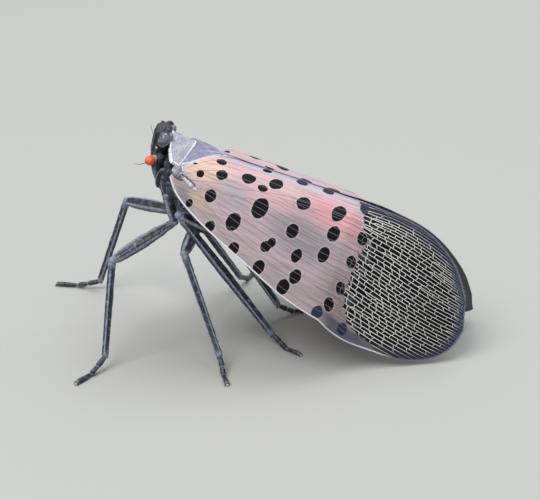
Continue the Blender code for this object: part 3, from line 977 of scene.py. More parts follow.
@dataclass
class Venation:
    """Grows the forking long veins and the cross veins between them."""

    plan: WingPlan
    seed: int = 5
    step: float = 0.1
    start: float = -3.9
    end: float = 19.1
    root_shares: Triple = (0.12, 0.32, 0.9)
    # Thickest radius of the first veins, of the two guided veins and of the forks
    root_radius: float = 0.045
    fold_radius: float = 0.055
    cream_radius: float = 0.075
    fork_radius: float = 0.042
    spacing: Rows = ((-3.0, 0.5), (0.0, 0.6), (4.0, 0.5), (8.0, 0.4), (10.0, 0.32),
                     (13.5, 0.27), (16.0, 0.23), (19.0, 0.2))
    radius: Rows = ((-3.0, 0.035), (4.0, 0.03), (8.6, 0.032), (9.6, 0.04), (13.0, 0.034),
                    (16.5, 0.027), (19.0, 0.025))
    rung: Pair = (0.42, 0.82)
    ease: float = 0.06
    fork_at: float = 1.32
    clear_of_edge: float = 0.04
    # Slope of the veins over the rear part: at the upper edge, in the middle, at the lower edge
    flow: Rows = (
        (8.3, 0.04, 0.11, 0.16), (8.5, -0.27, -0.28, -0.2), (9.5, -0.17, -0.17, -0.1),
        (10.2, -0.1, 0.08, 0.1), (11.4, -0.05, 0.13, 0.16), (12.0, 0.1, 0.28, 0.24),
        (12.5, 0.14, 0.3, 0.24), (14.3, 0.25, 0.28, 0.21), (16.0, 0.36, 0.24, 0.2),
        (18.0, 0.36, 0.15, 0.16))
    veins: list[Vein] = field(default_factory=list)
    rungs: list[list[Pair]] = field(default_factory=list)

    def slope(self, s: float, down: float) -> float:
        """Rise of width along s in the net, at a share of the way down the wing."""
        return float(np.interp(down, (0.05, 0.45, 0.9), [read(self.flow, s, i) for i in (1, 2, 3)]))

    def gap_wanted(self, s: float, width: float) -> float:
        """Spacing of the veins at a place: wider in the costal strip and the clavus."""
        wanted = read(self.spacing, s)
        if width > read(self.plan.cream_vein, s):
            wanted *= 1.0 + 0.9 * smoothstep(10.5, 7.0, s)
        if width < read(self.plan.fold_line, s):
            wanted *= 1.0 + 0.35 * smoothstep(9.0, 6.0, s)
        near_top = smoothstep(2.6, 0.6, width - self.plan.span(s)[0]) * smoothstep(9.0, 10.5, s)
        return wanted * (1.0 - 0.28 * near_top)

    def grow(self) -> None:
        """Grow all the veins from the root to the margin."""
        rng = random.Random(self.seed)
        low, high = self.plan.span(self.start)
        live = [self.sprout(self.start, low + (high - low) * share, self.root_radius)
                for share in self.root_shares]
        for radius, guide in ((self.fold_radius, self.plan.fold_line),
                              (self.cream_radius, self.plan.cream_vein)):
            live.append(self.sprout(self.start, guide[0][1], radius, guide))
        live.sort(key=lambda vein: vein.width)
        s = self.start
        while s < self.end:
            s += self.step
            self.advance(live, s)
            self.relax(live, s)
            live = self.fill_edges(self.fork(live, s, rng), s, rng)
            self.add_rungs(live, s, rng)
            for vein in live:
                vein.path.append((s, vein.width))
            live = [vein for vein in live if self.inside(s, vein.width)]

    def sprout(self, s: float, width: float, thickness: float, guide: Rows | None = None) -> Vein:
        """Start a vein.

        Args:
            s: Where it starts.
            width: Its place down the slope.
            thickness: Its thickest radius.
            guide: Line that it keeps to over the leathery part, if any.

        Returns:
            The vein.
        """
        vein = Vein(width, [(s, width)], thickness, guide)
        self.veins.append(vein)
        return vein

    def inside(self, s: float, width: float) -> bool:
        """Whether a place is clear of the wing's edge."""
        low, high = self.plan.span(s)
        return low + self.clear_of_edge < width < high - self.clear_of_edge

    def advance(self, live: Sequence[Vein], s: float) -> None:
        """Carry the veins one step along the flow."""
        old_low, old_high = self.plan.span(s - self.step)
        low, high = self.plan.span(s)
        net = smoothstep(7.2, 8.4, s)
        for vein in live:
            down = (vein.width - old_low) / max(old_high - old_low, 0.1)
            fanned = low + down * (high - low)
            flowing = vein.width + self.slope(s, down) * self.step
            vein.width = fanned * (1.0 - net) + flowing * net

    def relax(self, live: Sequence[Vein], s: float) -> None:
        """Even out the spaces between the veins, and keep guided veins on their lines."""
        low, high = self.plan.span(s)
        widths = [vein.width for vein in live]
        for i, vein in enumerate(live):
            wanted = self.gap_wanted(s, vein.width)
            before = max(low - 0.5 * wanted, widths[i] - wanted)
            if i:
                before = widths[i - 1]
            after = min(high + 0.5 * wanted, widths[i] + wanted)
            if i + 1 < len(live):
                after = widths[i + 1]
            vein.width += self.ease * ((before + after) / 2.0 - widths[i])
            if vein.guide:
                hold = 0.35 * smoothstep(8.3, 6.8, s)
                vein.width += hold * (read(vein.guide, s) - vein.width)

    def fork(self, live: list[Vein], s: float, rng: random.Random) -> list[Vein]:
        """Fork veins where the space between two has grown too wide.

        Args:
            live: The veins that still grow, from the ridge down.
            s: Place along the ridge.
            rng: Source of chance.

        Returns:
            The veins with the new ones among them.
        """
        grown: list[Vein] = []
        for vein, other in zip(live, live[1:]):
            grown.append(vein)
            gap = other.width - vein.width
            widest = self.gap_wanted(s, vein.width + gap / 2) * self.fork_at
            if gap < widest * rng.uniform(0.9, 1.25):
                continue
            parent, sign = (vein, 1.0) if rng.random() < 0.5 else (other, -1.0)
            child = self.sprout(s - self.step, parent.path[-1][1], self.fork_radius)
            child.width = parent.width + sign * 0.33 * gap
            child.next_rung = s + rng.uniform(0.1, 0.6)
            grown.append(child)
        return grown + live[-1:]

    def fill_edges(self, live: list[Vein], s: float, rng: random.Random) -> list[Vein]:
        """Start veins at the upper and lower edge where the net has room for them."""
        low, high = self.plan.span(s)
        if live and s > 9.0 and live[0].width - low > 1.5 * self.gap_wanted(s, low):
            first = self.sprout(s - self.step, low + 0.05, self.fork_radius)
            first.width = low + 0.07
            first.next_rung = s + rng.uniform(0.2, 0.7)
            live = [first, *live]
        if live and s > 7.5 and high - live[-1].width > 1.5 * self.gap_wanted(s, high):
            last = self.sprout(s - self.step, high - 0.05, self.fork_radius)
            last.width = high - 0.07
            live = [*live, last]
        return live

    def add_rungs(self, live: Sequence[Vein], s: float, rng: random.Random) -> None:
        """Add cross veins that are due between neighbours in the net."""
        for vein, other in zip(live[:-1], live[1:]):
            middle = (vein.width + other.width) / 2
            if s < read(self.plan.net_start, middle) - 0.35 or s < vein.next_rung:
                continue
            low, high = self.plan.span(s)
            margin = min(middle - low, high - middle, (self.plan.lower[-1, 0] - s) * 1.2)
            stretch = 1.0 + 0.8 * smoothstep(1.7, 0.7, margin) + 0.8 * smoothstep(14.5, 17.0, s)
            vein.next_rung = s + rng.uniform(*self.rung) * stretch
            if margin < 0.5 or other.width - vein.width < 0.13:
                continue
            lean = rng.uniform(-0.09, 0.09)
            bow = rng.uniform(-0.04, 0.04)
            self.rungs.append([(s - lean, vein.width), (s + bow, middle), (s + lean, other.width)])


@dataclass
class Forewing:
    """One spotted forewing: its membrane, its veins and the knobs at its root."""

    side: Side
    plan: WingPlan
    venation: Venation
    thickness: float = 0.034
    vein_depth: float = 0.015
    size: tuple[int, int] = (250, 96)
    wave: float = 0.03
    margin_radius: Rows = ((-4.9, 0.05), (-2.0, 0.045), (8.0, 0.042), (12.0, 0.04), (19.0, 0.036))
    ridge_radius: float = 0.026
    # Scale and shift that fit the plan into the bake map
    bake_fit: Pair = (26.0, 0.2)
    # Knobbly ridges at the root: places on the plan, thickest radius, pale share
    hinges: tuple[tuple[Rows, float, float], ...] = (
        (((-3.85, 3.5), (-3.5, 3.7), (-3.1, 3.94), (-2.72, 4.14)), 0.23, 0.95),
        (((-4.15, 3.26), (-3.75, 3.4), (-3.35, 3.56), (-2.95, 3.78)), 0.11, 0.0),
        (((-4.72, 3.4), (-4.45, 3.47), (-4.2, 3.56), (-3.95, 3.7)), 0.3, 0.15),
        (((-4.36, 2.62), (-4.14, 2.85), (-4.1, 3.08), (-4.18, 3.34)), 0.12, 1.0))
    hinge_rings: int = 40

    def surface(self, s: float, width: float, inset: float) -> Vector:
        """Place on this wing at a depth, with the soft waves of its membrane."""
        wave = noise.noise(Vector((s * 0.45, width * 1.3, 0.0))) + 0.6 * noise.noise(
            Vector((s * 0.9, width * 3.4, 4.0)))
        dip = self.wave * (wave + 1.0)
        if self.side is Side.RIGHT:
            dip += self.plan.sink * smoothstep(-1.0, -2.8, s)
        return self.plan.roof(self.side, *self.plan.laid(self.side, s, width), inset + dip)

    def build_membrane(self, material: Material) -> Piece:
        """Build the wing's sheet and store its plan on it."""
        name = f"forewing_membrane_{self.side.word}"
        mesh, places = wing_sheet(name, self.side, (self.plan.upper_edge, self.plan.lower_edge),
                                  self.size, lambda s, width, *_: self.surface(s, width, 0.0),
                                  self.thickness)
        self.plan.marks(mesh, places)
        return finish_piece(name, mesh, material, "forewing", f"forewing_{self.side.word}")

    def vein_plans(self) -> list[list[Triple]]:
        """Plan place and radius along each vein, each cross vein and the wing's rim."""
        radius = self.venation.radius
        plans = [[(s, w, min(read(radius, s), vein.thickness + 0.01))
                  for s, w in vein.path[::2] + vein.path[-1:]]
                 for vein in self.venation.veins if len(vein.path) >= 4]
        plans += [[(s, w, 0.9 * read(radius, s)) for s, w in rung] for rung in self.venation.rungs]
        rim = [(s, w, self.ridge_radius if w < 0.6 else read(self.margin_radius, s))
               for s, w in self.plan.outline[::3]]
        return [*plans, rim + rim[:1]]

    def build_veins(self, material: Material) -> Piece:
        """Build the wing's veins as thin tubes that pass through the membrane."""
        plans = self.vein_plans()
        tree = kdtree.KDTree(sum(len(plan) for plan in plans))
        known, paths = [], []
        for plan in plans:
            paths.append([])
            for s, width, radius in plan:
                place = self.surface(s, width, self.vein_depth)
                tree.insert(place, len(known))
                known.append((s, width))
                paths[-1].append((place, radius))
        tree.balance()
        mesh = tubes(paths, 6)
        places, baked = [], []
        for vert in mesh.vertices:
            middle, index, _ = tree.find(vert.co)
            s, width = known[index]
            slope = float(self.plan.tilt(s, np.array([width]))[0])
            downhill = ACROSS * self.side.value * math.cos(slope) - UPWARD * math.sin(slope)
            away = vert.co - middle
            places.append((s, width))
            baked.append((s + away.dot(ALONG), width + away.dot(downhill)))
        self.plan.marks(mesh, np.array(places))
        scale, shift = self.bake_fit
        set_map(mesh, BAKE_MAP, np.array(baked) / scale + shift)
        return finish_piece(f"forewing_veins_{self.side.word}", mesh, material, "forewing")

    def build_root(self, material: Material) -> Piece:
        """Build the knobbly hinge plates at the wing's root."""
        bm, pale = new_form()
        end = self.hinge_rings - 1
        for line, thick, share in self.hinges:
            places = [self.surface(*smooth_curve(line, i / end), 0.3 * thick)
                      for i in range(self.hinge_rings)]
            stations = []
            for i, place in enumerate(places):
                ahead = (places[min(i + 1, end)] - places[max(i - 1, 0)]).normalized()
                across = ahead.cross(UPWARD).normalized()
                knob = 1.0 + 0.1 * math.sin(i * 0.6)
                radius = thick * (0.45 + 0.55 * bump(0.45, 0.45, i / end)) * knob
                up = across.cross(ahead) * radius * 0.75
                stations.append(Station(place, across * radius, up))
            for vert in loft(bm, stations, 24):
                vert[pale] = share * (0.75 + 0.5 * noise.noise(vert.co * 5.0))
        bm.normal_update()
        roughen(bm.verts, 0.05, 0.3, 3.1)
        return finish_form(f"wing_root_{self.side.word}", bm, material, "plate")


@dataclass
class Hindwing:
    """Pleated hind wing folded under the forewing."""

    side: Side
    plan: WingPlan
    upper_edge: Rows = ((0.6, 1.6), (4.0, 1.5), (8.0, 1.8), (11.5, 3.0), (13.6, 4.2))
    lower_edge: Rows = ((0.9, 4.2), (4.0, 6.9), (8.0, 8.0), (11.5, 8.2), (14.2, 6.4))
    inset: float = 0.72
    thickness: float = 0.1
    pleats: int = 11
    pleat_depth: float = 0.09
    size: tuple[int, int] = (120, 132)

    def surface(self, s: float, width: float, across: float, down: float) -> Vector:
        """Place on the pleated sheet at a plan place and its shares along and down."""
        fold = abs((down * self.pleats) % 1.0 - 0.5) * 2.0
        deep = self.inset + self.pleat_depth * fold * smoothstep(0.0, 0.15, across)
        return self.plan.roof(self.side, s, width, deep)

    def build(self, material: Material) -> Piece:
        """Build the wing."""
        name = f"hindwing_sheet_{self.side.word}"
        mesh, places = wing_sheet(name, self.side, (self.upper_edge, self.lower_edge), self.size,
                                  self.surface, self.thickness)
        set_map(mesh, PLAN_MAP, places)
        return finish_piece(name, mesh, material, "hindwing", f"hindwing_{self.side.word}")


# Head


@dataclass
class Head:
    """Upright head: keeled face, wrinkled crown, eyes, bead eyes, bulbs, lip and beak."""

    # Height, half width, half length, middle along the ridge
    sections: Rows = (
        (0.68, 0.55, 0.36, -6.42), (0.42, 0.9, 0.6, -6.4), (0.0, 1.06, 0.69, -6.37),
        (-0.6, 1.12, 0.7, -6.32), (-1.2, 1.1, 0.7, -6.25), (-1.7, 1.04, 0.68, -6.14),
        (-2.2, 0.92, 0.64, -6.03), (-2.65, 0.78, 0.58, -5.95))
    lip: Rows = (
        (-2.5, 0.7, 0.5, -5.98), (-2.8, 0.74, 0.54, -5.88), (-3.3, 0.58, 0.47, -5.7),
        (-3.8, 0.42, 0.38, -5.46), (-4.25, 0.28, 0.28, -5.2))
    beak: Rows = (
        (-4.0, 0.22, 0.22, -5.36), (-4.33, 0.25, 0.25, -5.12), (-4.6, 0.19, 0.2, -4.95),
        (-4.9, 0.23, 0.24, -4.75), (-5.15, 0.17, 0.18, -4.4), (-5.35, 0.2, 0.21, -4.0))
    # Strength, degrees from the front, reach, and the shares of the way down where it begins
    keels: Rows = ((1.0, 52.0, 6.0, 0.0, 0.08), (0.55, 17.0, 4.5, 0.1, 0.25),
                   (0.9, 84.0, 5.0, 0.45, 0.6), (0.8, 112.0, 6.0, 0.5, 0.7))
    eye_centre: Triple = (-6.12, 1.14, 0.0)
    eye_size: Triple = (0.43, 0.44, 0.58)
    # Place and half axes of the fold behind the eye and of the lobe of the cheek
    nape: tuple[float, ...] = (-5.78, 0.72, 0.12, 0.26, 0.42, 0.42)
    lobe: tuple[float, ...] = (-5.5, 1.12, -2.95, 0.36, 0.3, 0.84)
    # Pale patch of the cheek: place along the ridge, height and half sizes
    patch: tuple[float, ...] = (-6.1, -1.4, 0.34, 0.26)
    bead: Triple = (-6.46, 1.14, -0.75)
    bead_radius: float = 0.09
    antenna_root: Triple = (-6.3, 1.1, -1.55)
    antenna_bulb: Triple = (-6.66, 1.82, -1.62)
    # Place, as a share of the way from the root to the bulb's middle, and radius
    bulb_profile: Rows = (
        (0.0, 0.2), (0.22, 0.24), (0.3, 0.2), (0.42, 0.19), (0.48, 0.25), (0.6, 0.315),
        (0.8, 0.34), (1.0, 0.335), (1.18, 0.27), (1.3, 0.17), (1.36, 0.08))
    bulb_radius: float = 0.34
    bristle_length: float = 1.7
    around: int = 96
    rings: int = 80

    def keel(self, angle: float, share: float) -> float:
        """Height of the face's keels at an angle round the head and a share of the way down."""
        front = from_front(angle)
        return sum(strength * bump(centre, reach, front) * smoothstep(start, full, share)
                   for strength, centre, reach, start, full in self.keels)

    def face_shape(self, angle: float, share: float) -> float:
        """Share of the half axes that the head's skin has: flat in front, with keels."""
        return (1.0 - 0.07 * smoothstep(50.0, 20.0, from_front(angle))
                + 0.085 * self.keel(angle, share))

    def upright(self, rows: Rows, rings: int) -> list[Station]:
        """Rings of a form that stands along h, from the top down."""
        made = []
        for i in range(rings):
            h, wide, long, s = smooth_curve(rows, i / (rings - 1))
            made.append(Station(body_point(s, 0.0, h), ACROSS * wide, ALONG * long))
        return made

    def face_pale(self, local: Vector) -> float:
        """Pale share of the head's skin at a place seen from its middle, with painted sheen on the
        crown.
        """
        along, out, height = local.dot(ALONG), local.dot(ACROSS), local.dot(UPWARD)
        share = smoothstep(0.68, -2.65, height)
        keel = 0.6 * self.keel(math.atan2(along, out), share) * smoothstep(0.02, 0.3, share)
        s, h, long, high = self.patch
        away = math.hypot((along + self.sections[0][3] - s) / long, (height - h) / high)
        patch = 0.85 * smoothstep(1.15, 0.7, away) * smoothstep(0.4, 0.7, abs(out))
        # The pale share that rises towards the top is painted sheen on the crown.
        return max(keel, 0.16 * smoothstep(0.35, 0.6, height), patch)

    def build_skin(self, material: Material) -> Piece:
        """Build the head's skin with its keels, crown and eye rims."""
        bm, pale = new_form()
        stations = self.upright(self.sections, self.rings)
        verts = loft(bm, stations, self.around, self.face_shape, 0.45)
        middle = body_point(self.sections[0][3], 0.0, 0.0)
        for vert in verts:
            vert[pale] = self.face_pale(vert.co - middle)
        bm.normal_update()
        roughen(verts, 0.05, 0.3, 1.7)
        for vert in verts:
            height = (vert.co - middle).dot(UPWARD)
            ripple = math.sin((vert.co.dot(ALONG)) * 16.0 + 2.0 * math.sin(vert.co.y * 3.0))
            vert.co += vert.normal * 0.03 * ripple * smoothstep(0.3, 0.55, height)
        for side in Side:
            for vert in body_ball(bm, side.at(*self.nape[:3]), self.nape[3:], 32, 22):
                vert[pale] = 0.95
            self.add_lobe(bm, pale, side)
            self.add_rim(bm, pale, side)
        return finish_form("head_skin", bm, material, "head", "head")

    def add_lobe(self, bm: Build, pale: Layer, side: Side) -> None:
        """Add the long cheek lobe under the bulb, slate with a pale outline."""
        centre, size = side.at(*self.lobe[:3]), self.lobe[3:]
        for vert in body_ball(bm, centre, size, 40, 40):
            local = vert.co - centre
            reach = math.hypot(local.dot(ALONG) / size[0], local.dot(UPWARD) / size[2])
            vert[pale] = smoothstep(0.72, 0.95, reach)

    def add_rim(self, bm: Build, pale: Layer, side: Side) -> None:
        """Add the raised rim round an eye, pale in front."""
        s, y, h = self.eye_centre
        along, _, up = self.eye_size
        major, minor, around, section = 0.97, 0.085, 48, 10
        made = bmesh.ops.create_circle(bm, segments=section, radius=minor,
                                       matrix=Matrix.Translation((1, 0, 0)))
        ring = made["verts"]
        upright = Matrix.Rotation(math.pi / 2, 3, "X")
        bmesh.ops.rotate(bm, verts=ring, cent=(1, 0, 0), matrix=upright)
        edges = list({edge for vert in ring for edge in vert.link_edges})
        before = set(bm.verts) - set(ring)
        bmesh.ops.spin(bm, geom=ring + edges, cent=(0, 0, 0), axis=(0, 0, 1), dvec=(0, 0, 0),
                       angle=2 * math.pi, steps=around, use_merge=True)
        turned = [vert for vert in bm.verts if vert not in before]
        for vert in turned:
            x, z, out = vert.co.x, vert.co.y, vert.co.z
            vert[pale] = 0.85 * smoothstep(0.2, -0.9, x)
            vert.co = side.at(s + x * along * major, y - 0.16 + out * 0.9 + 0.06 * x,
                              h + z * up * major)
        faces = list({face for vert in turned for face in vert.link_faces})
        bmesh.ops.recalc_face_normals(bm, faces=faces)

    def build_lip(self, material: Material) -> Piece:
        """Build the upper lip plate and the segmented beak under the body."""
        bm, pale = new_form()

        def shape(angle: float, _: float) -> float:
            front = from_front(angle)
            return 1.0 + 0.1 * bump(0.0, 7.0, front) + 0.09 * bump(62.0, 8.0, front)

        for vert in loft(bm, self.upright(self.lip, 40), 64, shape, 0.2):
            local = vert.co - body_point(-5.7, 0.0, -3.3)
            front = from_front(math.atan2(local.dot(ALONG), local.dot(ACROSS)))
            edges = 0.95 * bump(62.0, 9.0, front) + 0.5 * bump(0.0, 7.0, front)
            vert[pale] = min(1.0, edges + 0.14)
        for vert in loft(bm, self.upright(self.beak, 48), 24, None, 0.6):
            vert[pale] = 0.1
        bm.normal_update()
        roughen(bm.verts, 0.03, 0.25, 4.4)
        return finish_form("lip_and_beak", bm, material, "head", "clypeus", "beak")

    def build_eye(self, side: Side, material: Material) -> Piece:
        """Build one eye."""
        bm = bmesh.new()
        body_ball(bm, side.at(*self.eye_centre), self.eye_size, 48, 32)
        return finish_form(f"eye_ball_{side.word}", bm, material, "eye", f"eye_{side.word}")

    def build_bead(self, side: Side, material: Material) -> Piece:
        """Build the small bead eye under the big one."""
        bm = bmesh.new()
        body_ball(bm, side.at(*self.bead), (self.bead_radius,) * 3, 20, 14)
        return finish_form(f"bead_eye_{side.word}", bm, material, "eye")

    def build_antenna(self, side: Side, material: Material) -> Piece:
        """Build the stub and the orange bulb."""
        root, bulb = side.at(*self.antenna_root), side.at(*self.antenna_bulb)
        ahead = (bulb - root).normalized()
        across = ahead.cross(UPWARD).normalized()
        up = across.cross(ahead)
        length = (bulb - root).length
        stations = []
        for i in range(44):
            place, radius = smooth_curve(self.bulb_profile, i / 43)
            stations.append(Station(root + ahead * length * place, across * radius, up * radius))
        bm, pale = new_form()
        for vert in loft(bm, stations, 40):
            vert[pale] = smoothstep(0.5, 0.36, (vert.co - root).dot(ahead) / length)
        bm.normal_update()
        for vert in bm.verts:
            grain = noise.cell(vert.co * 9.0) * 0.012 + 0.02 * noise.noise(vert.co * 8.0)
            vert.co += vert.normal * grain * (1.0 - vert[pale])
        name = f"antenna_bulb_{side.word}"
        return finish_form(name, bm, material, "antenna", f"antenna_{side.word}")

    def build_bristle(self, side: Side, material: Material) -> Piece:
        """Build the long fine bristle at the end of the bulb."""
        root, bulb = side.at(*self.antenna_root), side.at(*self.antenna_bulb)
        ahead = (bulb - root).normalized()
        start = bulb + ahead * self.bulb_radius * 0.9
        path = []
        for t in (i / 14 for i in range(15)):
            place = start + ahead * self.bristle_length * t + UPWARD * 0.5 * t * t
            path.append((place, 0.022 * (1.0 - t) ** 0.6 + 0.006))
        return finish_piece(f"antenna_bristle_{side.word}", tubes([path], 8), material, "head")


# Trunk


@dataclass
class Trunk:
    """Thorax and abdomen under one skin, with the plates over the thorax."""

    # Place along the ridge, half width, half height, middle height
    sections: Rows = (
        (-5.75, 0.7, 0.8, -1.7), (-5.1, 1.3, 1.08, -1.85), (-4.5, 1.85, 1.35, -2.1),
        (-3.4, 2.14, 1.58, -2.4), (-1.9, 2.16, 1.7, -2.7), (-0.6, 2.0, 1.72, -3.15),
        (1.4, 2.26, 1.75, -3.5), (3.8, 2.12, 1.62, -3.5), (6.3, 1.7, 1.34, -3.4),
        (8.2, 1.2, 1.0, -3.3), (9.6, 0.8, 0.7, -3.25), (10.5, 0.35, 0.35, -3.2))
    # Flanks that the legs hang from: place along the ridge, sideways, height and half axes
    hips: Rows = (
        (-5.0, 1.15, -2.9, 0.55, 0.65, 1.15), (-4.2, 1.5, -2.9, 0.8, 0.75, 1.2),
        (-3.0, 1.3, -3.9, 0.9, 0.8, 0.9), (-1.3, 0.95, -5.05, 1.45, 0.95, 1.1),
        (-2.2, 0.35, -4.6, 1.9, 0.9, 1.0))
    rings: int = 240
    waist: float = -0.7
    segment: float = 1.35
    pronotum_front: float = -5.8
    pronotum_front_bend: float = 0.135
    pronotum_hind: float = -3.84
    pronotum_sweep: float = 0.3
    pronotum_fold: float = 0.47
    fold_radius: float = 0.38
    pronotum_half_width: float = 2.45
    pronotum_top: float = 0.14
    pronotum_drop: float = 0.02
    pronotum_rise: float = 0.24
    mesonotum_lap: float = 0.07
    mesonotum_hind: float = -0.3
    mesonotum_half_width: float = 2.35
    mesonotum_widths: Rows = ((-4.25, 2.38), (-3.9, 2.15), (-3.42, 1.74), (-2.8, 1.1),
                              (-2.2, 0.56), (-1.5, 0.24), (-0.95, 0.15), (-0.3, 0.07))
    mesonotum_top: float = 0.16
    mesonotum_fall: float = 0.16
    mesonotum_drop: float = 0.17
    plate_thickness: float = 0.26
    tegula_centre: Triple = (-4.48, 2.72, -1.2)
    tegula_size: Triple = (0.4, 0.3, 0.38)
    tegula_tuck: float = 0.3

    def groove(self, s: float, h: float) -> float:
        """Distance from the nearest groove of the thorax, as a share."""
        return abs(math.sin(s * 2.3 + 0.5 * math.sin(h * 2.0)))

    def stations(self) -> list[Station]:
        """Rings of the trunk, with the steps between the segments of the abdomen."""
        made = []
        for i in range(self.rings):
            s, wide, high, h = smooth_curve(self.sections, i / (self.rings - 1))
            if s > self.waist:
                beat = ((s - self.waist) / self.segment) % 1.0
                step = smoothstep(0.0, 0.75, beat) - smoothstep(0.88, 1.0, beat)
                grow = 1.0 + 0.05 * step - 0.03
                wide, high = wide * grow, high * grow
            made.append(Station(body_point(s, 0.0, h), ACROSS * wide, UPWARD * high))
        return made

    def build_skin(self, material: Material) -> Piece:
        """Build the skin of thorax and abdomen."""
        bm = bmesh.new()
        pale, band, rear = (bm.verts.layers.float.new(name) for name in ("pale", "band", "rear"))

        def shape(angle: float, share: float) -> float:
            return 1.0 - 0.05 * bump(0.0, 0.28, math.sin(angle) + 0.15) * smoothstep(0.36, 0.5, share)

        verts = loft(bm, self.stations(), 72, shape, 0.4)
        for vert in verts:
            s, h = body_place(vert.co)
            beat = ((s - self.waist) / self.segment) % 1.0
            level = abs(h - read(self.sections, s, 3)) / read(self.sections, s, 2)
            dark = smoothstep(0.3, 0.42, beat) * smoothstep(0.92, 0.84, beat)
            vert[rear] = behind = smoothstep(self.waist - 0.25, self.waist + 0.1, s)
            vert[band] = dark * smoothstep(0.2, 0.5, level)
            vert[pale] = (1.0 - behind) * 0.6 * smoothstep(0.2, 0.05, self.groove(s, h))
        for s, y, h, *axes in self.hips:
            for side in Side:
                hip = body_ball(bm, side.at(s, y, h), axes, 40, 28)
                for vert in hip:
                    ridge = abs(math.sin(vert.co.x * 3.1 + vert.co.z * 0.7))
                    vert[pale] = 0.8 * smoothstep(0.2, 0.05, ridge)
                verts += hip
        bm.normal_update()
        for vert in verts:
            deep = smoothstep(0.3, 0.0, self.groove(*body_place(vert.co)))
            vert.co -= vert.normal * 0.07 * deep * (1.0 - vert[rear])
        roughen(verts, 0.05, 0.45, 2.2)
        nodes = ("thorax", "abdomen", "abdomen_tip")
        return finish_form("trunk_skin", bm, material, "abdomen", *nodes)

    def plate(self, name: str, place: Callable[[float, float], Vector],
              relief: Callable[[float, float], Pair], size: tuple[int, int],
              material: Material) -> Piece:
        """Build a curved plate with raised edges.

        Args:
            name: The CAD node that it stands for.
            place: Gives the outer surface from two shares.
            relief: Gives the height in millimetres and the pale share from two shares.
            size: Columns and rows.
            material: Its material.

        Returns:
            The piece.
        """
        bm, pale = new_form()
        bmesh.ops.create_grid(bm, x_segments=size[0], y_segments=size[1], size=0.5)
        lifts = {}
        for vert in bm.verts:
            across, down = vert.co.x + 0.5, vert.co.y + 0.5
            lifts[vert], vert[pale] = relief(across, down)
            vert.co = place(across, down)
        bmesh.ops.reverse_faces(bm, faces=bm.faces)
        bm.normal_update()
        for vert, lift in lifts.items():
            vert.co += vert.normal * lift
        bm.normal_update()
        bmesh.ops.solidify(bm, geom=bm.faces, thickness=self.plate_thickness)
        return finish_form(f"{name}_plate", bm, material, "plate", name)

    def sweep(self, y: float) -> float:
        """How far a place lies from the body's middle, rounded off in the middle."""
        return math.hypot(y, self.fold_radius) - self.fold_radius

    def collar_hind(self, y: float) -> float:
        """Hind edge of the collar plate, which sweeps forwards to the sides."""
        return self.pronotum_hind - self.pronotum_sweep * self.sweep(y)

    def pronotum_place(self, across: float, down: float) -> Vector:
        """Outer surface of the collar plate."""
        y = self.pronotum_half_width * (2.0 * across - 1.0)
        hind = self.collar_hind(y)
        front = self.pronotum_front + self.pronotum_front_bend * y * y
        rise = self.pronotum_rise * (1.0 - down)
        fold = self.pronotum_fold * self.sweep(y)
        return body_point(front + (hind - front) * down, y,
                          self.pronotum_top + rise - fold - self.pronotum_drop * y * y)

    def pronotum_relief(self, across: float, down: float) -> Pair:
        """Raised edges, middle keel and wrinkles of the collar plate."""
        y = abs(2.0 * across - 1.0)
        edge = max(smoothstep(0.14, 0.03, down), smoothstep(0.92, 0.98, down),
                   smoothstep(0.93, 0.98, y))
        keel = 0.5 * bump(0.0, 0.03, y)
        dent = bump(0.3, 0.12, y) * bump(0.5, 0.2, down)
        rough = noise.fractal(Vector((across * 14.0, down * 5.0, 1.0)), 1.0, 2.0, 3)
        return (-0.06 + 0.06 * edge + 0.03 * keel - 0.05 * dent + 0.02 * rough,
                min(1.0, edge + 0.4 * keel))

    def mesonotum_place(self, across: float, down: float) -> Vector:
        """Outer surface of the shield between the collar and the wing roots."""
        y = self.mesonotum_half_width * (2.0 * across - 1.0)
        front = self.collar_hind(y) + self.mesonotum_lap
        corner = self.collar_hind(self.mesonotum_half_width) + self.mesonotum_lap
        edge = corner + (self.mesonotum_hind - corner) * down
        y = read(self.mesonotum_widths, edge) * (2.0 * across - 1.0)
        return body_point(front + (self.mesonotum_hind - front) * down, y,
                          self.mesonotum_top - self.mesonotum_fall * down
                          - self.mesonotum_drop * y * y)

    def mesonotum_relief(self, across: float, down: float) -> Pair:
        """Raised edges and the two curved keels of the shield."""
        y = abs(2.0 * across - 1.0)
        edge = smoothstep(0.9, 0.97, y)
        keel = 0.9 * bump(0.42 - 0.25 * down, 0.05, y) * bump(0.5, 0.2, down)
        rough = noise.fractal(Vector((across * 9.0, down * 7.0, 7.0)), 1.0, 2.0, 3)
        narrow = smoothstep(1.0, 0.7, down)
        return (-0.06 + (0.05 * edge + 0.05 * keel + 0.015 * rough) * narrow,
                min(1.0, 0.8 * edge + 0.9 * keel) * narrow)

    def build_neck(self, material: Material) -> Piece:
        """Build the folded skin between the head and the collar plate."""
        bm, pale = new_form()
        verts = body_ball(bm, body_point(-5.4, 0.0, -0.68), (0.42, 1.3, 0.42), 60, 40)
        for side in Side:
            verts += body_ball(bm, side.at(-5.18, 1.5, -1.15), (0.32, 0.5, 0.45), 40, 28)
        for vert in verts:
            vert[pale] = 0.12
        bm.normal_update()
        roughen(verts, 0.08, 0.3, 8.0)
        return finish_form("neck_skin", bm, material, "plate")

